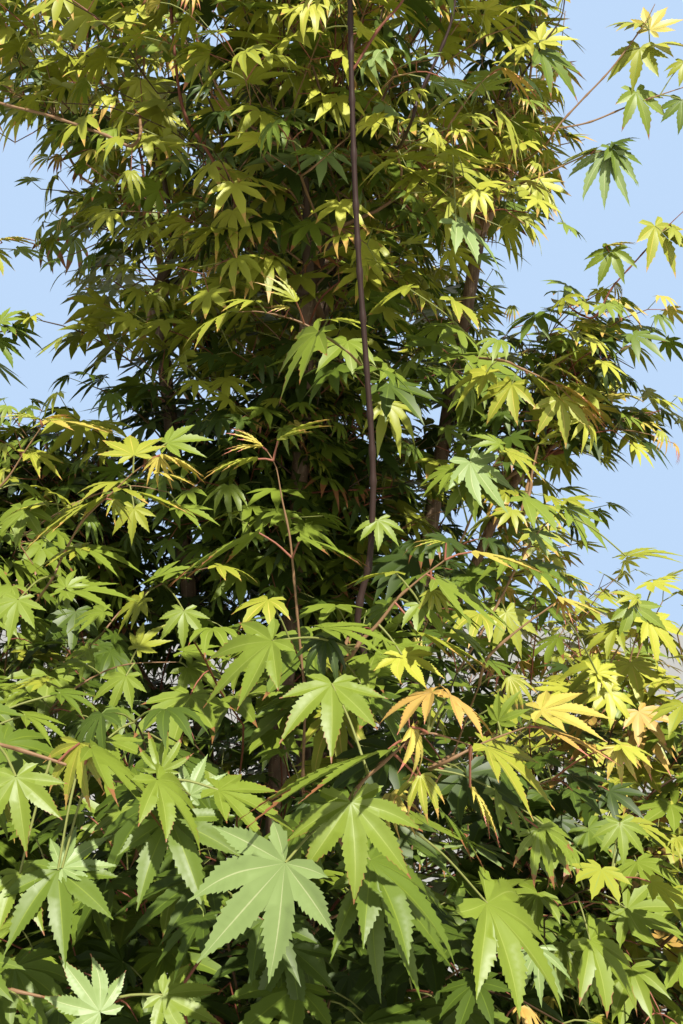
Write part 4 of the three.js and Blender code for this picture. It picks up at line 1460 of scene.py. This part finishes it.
for name in MASS_NAMES:
    base = SKIRT if name.startswith("skirt") else MIDDLE if name.startswith("mid") else UPPER
    GROWTH[name] = {**base, **OWN_GROWTH.get(name, {})}
print({name: spec["shoots"] for name, spec in GROWTH.items()})

# %% Which leaves get more faces, and which are left out
FRAME_MARGIN = 60
SEEN_FROM = 0.05
SEEN_DEPTH, FRONT_DEPTH, NEAR_DEPTH = 1.6, 1.08, 0.74
STAGE_CLEAR = 0.02


def detail_of(places):
    """Toothed leaves close to the eye, veined and plain ones further, the plainest elsewhere."""
    across, down, depth = to_pixels(places)
    seen = (depth > SEEN_FROM) & (np.abs(across - PHOTO_WIDTH / 2) < PHOTO_WIDTH / 2 + FRAME_MARGIN)
    seen &= np.abs(down - PHOTO_HEIGHT / 2) < PHOTO_HEIGHT / 2 + FRAME_MARGIN
    kinds = np.full(len(places), "far", dtype=object)
    for kind, limit in (("plain", SEEN_DEPTH), ("veined", FRONT_DEPTH), ("toothed", NEAR_DEPTH)):
        kinds[seen & (depth < limit)] = kind
    return kinds


def kept_open(places):
    """True where a leaf would hide something that the photograph shows in the open."""
    across, down, depth = to_pixels(places)
    gap = np.hypot(across[:, None] - CIRCLES[:, 0], down[:, None] - CIRCLES[:, 1])
    before = depth[:, None] < CIRCLES[:, 3] + STAGE_CLEAR
    return (sky_share(places) < CLOSED_SHARE) | ((gap < CIRCLES[:, 2]) & before).any(axis=1)


print("leaves nearer than", NEAR_DEPTH, "m have toothed edges")

# %% Make the pieces of one mass
ALLOWANCE = 0.03
BOX_INSET = 0.004
LOWEST_TIP = 0.05
RED_SHARE = 0.35
FIRST_SEED, LEAF_SEED = 300, 5000
STOUT_TWIG, OLD_SHARE = 0.0026, 0.6
THIN_TWIGS = {"tan_twig": 0.45, "red_twig": 0.35, "old_twig": 0.2}
spare = (np.array(cad_high) - np.array(cad_low)) * ALLOWANCE
box_low, box_high = np.array(cad_low) - spare, np.array(cad_high) + spare


def sides_for(radius):
    """Stout wood is rounder."""
    return 9 if radius > 0.0045 else 7 if radius > 0.0022 else 5 if radius > 0.0011 else 4


def twig_colour(radius, rng):
    """Stout twigs are brown, thin ones tan to red."""
    if radius > STOUT_TWIG:
        return TWIG["old_twig" if rng.random() < OLD_SHARE else "tan_twig"]
    return TWIG[rng.choice(list(THIN_TWIGS), p=list(THIN_TWIGS.values()))]


def pile_leaves(leaves, twig_pile, leaf_pile, rng):
    """Puts a list of leaves and their stalks in the piles, and counts the ones put there."""
    feet, heads, axes, normals, sizes, sprays, forms = (np.array(column) for column in zip(*leaves))
    tips = heads + unit(axes) * sizes[:, None]
    inside = ((tips > box_low + BOX_INSET) & (tips < box_high - BOX_INSET)).all(axis=1)
    inside &= (tips[:, 2] > LOWEST_TIP) & ~kept_open((heads + tips) / 2)
    kinds = detail_of(heads)
    near = to_pixels(heads)[2] < FRONT_DEPTH
    red = rng.random(len(leaves)) < RED_SHARE
    stalk_colours = np.where(red, TWIG["red_stalk"], TWIG["green_stalk"])
    for (detail, form), shape in leaf_shapes.items():
        chosen = inside & (kinds == detail) & (forms == form)
        if chosen.any():
            add_leaves(leaf_pile, shape, heads[chosen], axes[chosen], normals[chosen],
                       sizes[chosen], SPRAY_COLOURS[sprays[chosen]])
    for chosen, rings, sides in ((inside & ~near, 2, 3), (inside & near, 4, 5)):
        if chosen.any():
            add_stalks(twig_pile, feet[chosen], heads[chosen], stalk_colours[chosen], rings, sides)
    return int(inside.sum())


def finish_piles(name, twig_pile, leaf_pile, *nodes):
    """Makes a pile of twigs and one of leaves two pieces in place of the named CAD nodes."""
    finish_piece(twig_pile.mesh("twigs_" + name), twig_materials, "young_bark", *nodes)
    finish_piece(leaf_pile.mesh("leaves_" + name), leaf_materials, "foliage", *nodes)


leaf_total = 0
for seed, (name, spec) in enumerate(GROWTH.items(), FIRST_SEED):
    runs, shoots = grow_wood(name, spec, np.random.default_rng(seed))
    rng = np.random.default_rng(seed + LEAF_SEED)
    twig_pile, leaf_pile, leaves = Pile(), Pile(), []
    for line, radii in runs:
        add_twig(twig_pile, line, radii, sides_for(radii[0]), twig_colour(radii.mean(), rng))
        wood_places.append(line)
        wood_radii.append(radii)
    for line, shaded in shoots:
        leaves_on_shoot(line, shaded, spec, rng, leaves)
    placed = pile_leaves(leaves, twig_pile, leaf_pile, rng)
    finish_piles(name, twig_pile, leaf_pile, name)
    leaf_total += placed
    print(name, placed, "leaves and", twig_pile.count() + leaf_pile.count(), "triangles")
print("in all", leaf_total, "leaves")

# %% [markdown]
# ## Leaves and twigs in front
# The listed twigs are now drawn, each with an extra piece of wood that leads from the nearest
# grown twig to its foot, and the listed leaves are hung on their stalks.

# %% Carry a twig back to the grown wood
TWIG_SEED, END_SEED = 77, 78
HOME_SIDE = 36
HOME_DETOUR = 0.30
STOUT_ENOUGH = 0.0004
ON_TWIG = 0.03
LEAD_OUT, LEAD_BACK = 0.55, 0.10
NODE_STEP = (0.022, 0.045)
NODE_SWELLING, NODE_LENGTH = 0.38, 0.0035
TAPER_LENGTH, TAPER_TO = 0.06, 0.5
FRONT_STEP, FRONT_SIDES = 0.004, 9
OFF_FRAME = 10
LEAST_RUN = 8
MM = 0.001
STALK_ARCH = 0.06
STALK_RADII, STALK_STEP, STALK_SIDES = (0.0009, 0.0007, 0.0007), 0.006, 6
LAST_GREEN = 3
# a leaf of a more closed form is this much larger, so that its tip still reaches its place
FORM_STRETCH = 0.05
END_SHOOT = dict(UPPER, missing=0.1)
all_wood, all_wood_radii = np.vstack(wood_places), np.hstack(wood_radii)


def nearest_wood(place, least):
    """The nearest grown wood that is stout enough and lies straight behind a place, as seen."""
    stout = all_wood[all_wood_radii >= least]
    across, down, depth = to_pixels(stout)
    foot_across, foot_down, foot_depth = to_pixels(place)
    hidden = (np.abs(across - foot_across) < HOME_SIDE) & (np.abs(down - foot_down) < HOME_SIDE)
    hidden &= depth > foot_depth
    way = gaps(stout, place) + np.where(hidden, 0.0, HOME_DETOUR)
    return stout[way.argmin()]


def node_swelling(line, rng):
    """How much wider a twig is at its nodes, which stand a few centimetres apart."""
    marks = marks_of(line)
    nodes = np.cumsum(rng.uniform(*NODE_STEP, int(marks[-1] / NODE_STEP[0]) + 1))
    gap = np.abs(marks[:, None] - nodes[None]).min(axis=1)
    return NODE_SWELLING * np.exp(-((gap / NODE_LENGTH) ** 2))


def front_twigs(pile, end_leaves):
    """Adds the listed twigs to the pile, lists leaves for their far ends, returns their places."""
    along = np.empty((0, 3))
    rng = np.random.default_rng(TWIG_SEED)
    for name, colour, depth, foot, tip, points in FRONT_TWIGS:
        places = np.array([at_pixel(x, y, depth) for x, y in points])
        onward = unit(places[1] - places[0])
        home = nearest_wood(places[0], foot * STOUT_ENOUGH)
        if len(along) and gaps(along, places[0]).min() < ON_TWIG:
            home = along[gaps(along, places[0]).argmin()]
        gap = places[0] - home
        lead = home + gap * LEAD_OUT - onward * np.linalg.norm(gap) * LEAD_BACK
        radii = np.linspace(foot, tip, len(places)) * MM
        line, thick = smooth_line(np.vstack([home, lead, places]),
                                  np.hstack([radii[0], radii[0], radii]), FRONT_STEP)
        thick *= 1 + node_swelling(line, rng)
        thick *= np.interp(gaps(line, line[-1]), (0.0, TAPER_LENGTH), (TAPER_TO, 1.0))
        add_twig(pile, line, thick, FRONT_SIDES, TWIG[colour])
        along = np.vstack([along, line])
        across, down, _ = to_pixels(line)
        grown = np.abs(across - PHOTO_WIDTH / 2) > PHOTO_WIDTH / 2 + OFF_FRAME
        grown |= down < -OFF_FRAME
        grown[:gaps(line, places[0]).argmin()] = True
        for run in np.split(np.arange(len(line)), np.flatnonzero(np.diff(grown)) + 1):
            if grown[run[0]] and len(run) > LEAST_RUN:
                leaves_on_shoot(line[run], False, END_SHOOT, rng, end_leaves)
        print(name, "is carried back", round(float(np.linalg.norm(gap)), 3), "m")
    return along


def front_leaves(twig_pile, leaf_pile, wood):
    """Adds the listed leaves, each on a stalk from the twig or the wood nearest to its foot."""
    for foot, blade, tip, depth, nearer, facing, form, spray in FRONT_LEAVES:
        start = wood[gaps(wood, at_pixel(*foot, depth)).argmin()]
        head = at_pixel(*blade, depth)
        axis = at_pixel(*tip, depth - nearer * MM) - head
        normal = UPWARD * (1 - facing) - np.array(FORWARD) * facing
        middle = (start + head) / 2 + UPWARD * STALK_ARCH * np.linalg.norm(head - start)
        line, thick = smooth_line([start, middle, head], STALK_RADII, STALK_STEP)
        colour = "red_stalk" if form > LAST_GREEN else "green_stalk"
        add_twig(twig_pile, line, thick, STALK_SIDES, TWIG[colour])
        size = np.linalg.norm(axis) * (1.0 + FORM_STRETCH * form)
        shape = leaf_shapes["close" if depth < NEAR_DEPTH else "toothed", form]
        add_leaves(leaf_pile, shape, head[None], axis[None], normal[None], np.array([size]),
                   SPRAY_COLOURS[[SPRAY_NAMES.index(spray)]])


twig_pile, leaf_pile, end_leaves = Pile(), Pile(), []
front_wood = front_twigs(twig_pile, end_leaves)
front_leaves(twig_pile, leaf_pile, np.vstack([front_wood, all_wood]))
pile_leaves(end_leaves, twig_pile, leaf_pile, np.random.default_rng(END_SEED))
finish_piles("in_front", twig_pile, leaf_pile, "skirt_front", "mid_core_front", "upper_front")
print(len(FRONT_LEAVES), "leaves in front,", leaf_pile.count(), "triangles")

# %% [markdown]
# ## Floor and light
# A pale floor under a pale soft sky, a sun from high on the right in front, and a soft wide light
# from the front give the clear sun and shade of the photograph.

# %% Floor
floor_bm = bmesh.new()
bmesh.ops.create_circle(floor_bm, cap_ends=True, segments=96, radius=30.0)
floor = put_in_scene("floor", mesh_of(floor_bm, "floor"))
floor_gloss = {"Roughness": 0.8, "Specular IOR Level": 0.2}
floor.data.materials.append(plain_material("floor_paint", (0.38, 0.38, 0.37), floor_gloss))
print("floor is", floor.dimensions.x, "m across")

# %% Light
# strength, spread in degrees, colour, and the direction that the light comes from
LAMPS = {
    "sun": (5.9, 1.5, (1.0, 0.96, 0.88), (0.34, -0.74, 1.08)),
    "front_light": (0.9, 60, (1.0, 0.98, 0.80), (0.25, -1.0, 0.02)),
}
SKY_SHOWN = {"Color": (0.53, 0.71, 0.97, 1), "Strength": 1.0}
SKY_FILL = {"Color": (0.80, 0.89, 1.0, 1), "Strength": 0.28}
for name, (strength, spread, colour, towards) in LAMPS.items():
    lamp = put_in_scene(name, bpy.data.lights.new(name, "SUN"))
    lamp.data.energy = strength
    lamp.data.angle = math.radians(spread)
    lamp.data.color = colour
    lamp.rotation_euler = Vector(towards).to_track_quat("Z", "Y").to_euler()
scene.view_settings.view_transform = "Standard"

world = bpy.data.worlds.new("sky")
world.use_nodes = True
scene.world = world
tree = world.node_tree
shown = add_node(tree, "Background", SKY_SHOWN).outputs[0]
fill = add_node(tree, "Background", SKY_FILL).outputs[0]
rays = add_node(tree, "LightPath", {}).outputs["Is Camera Ray"]
choice = add_node(tree, "MixShader", {0: rays, 1: fill, 2: shown}).outputs[0]
tree.links.new(choice, tree.nodes["World Output"].inputs["Surface"])
tree.nodes.remove(tree.nodes["Background"])
print("lamps:", ", ".join(LAMPS))
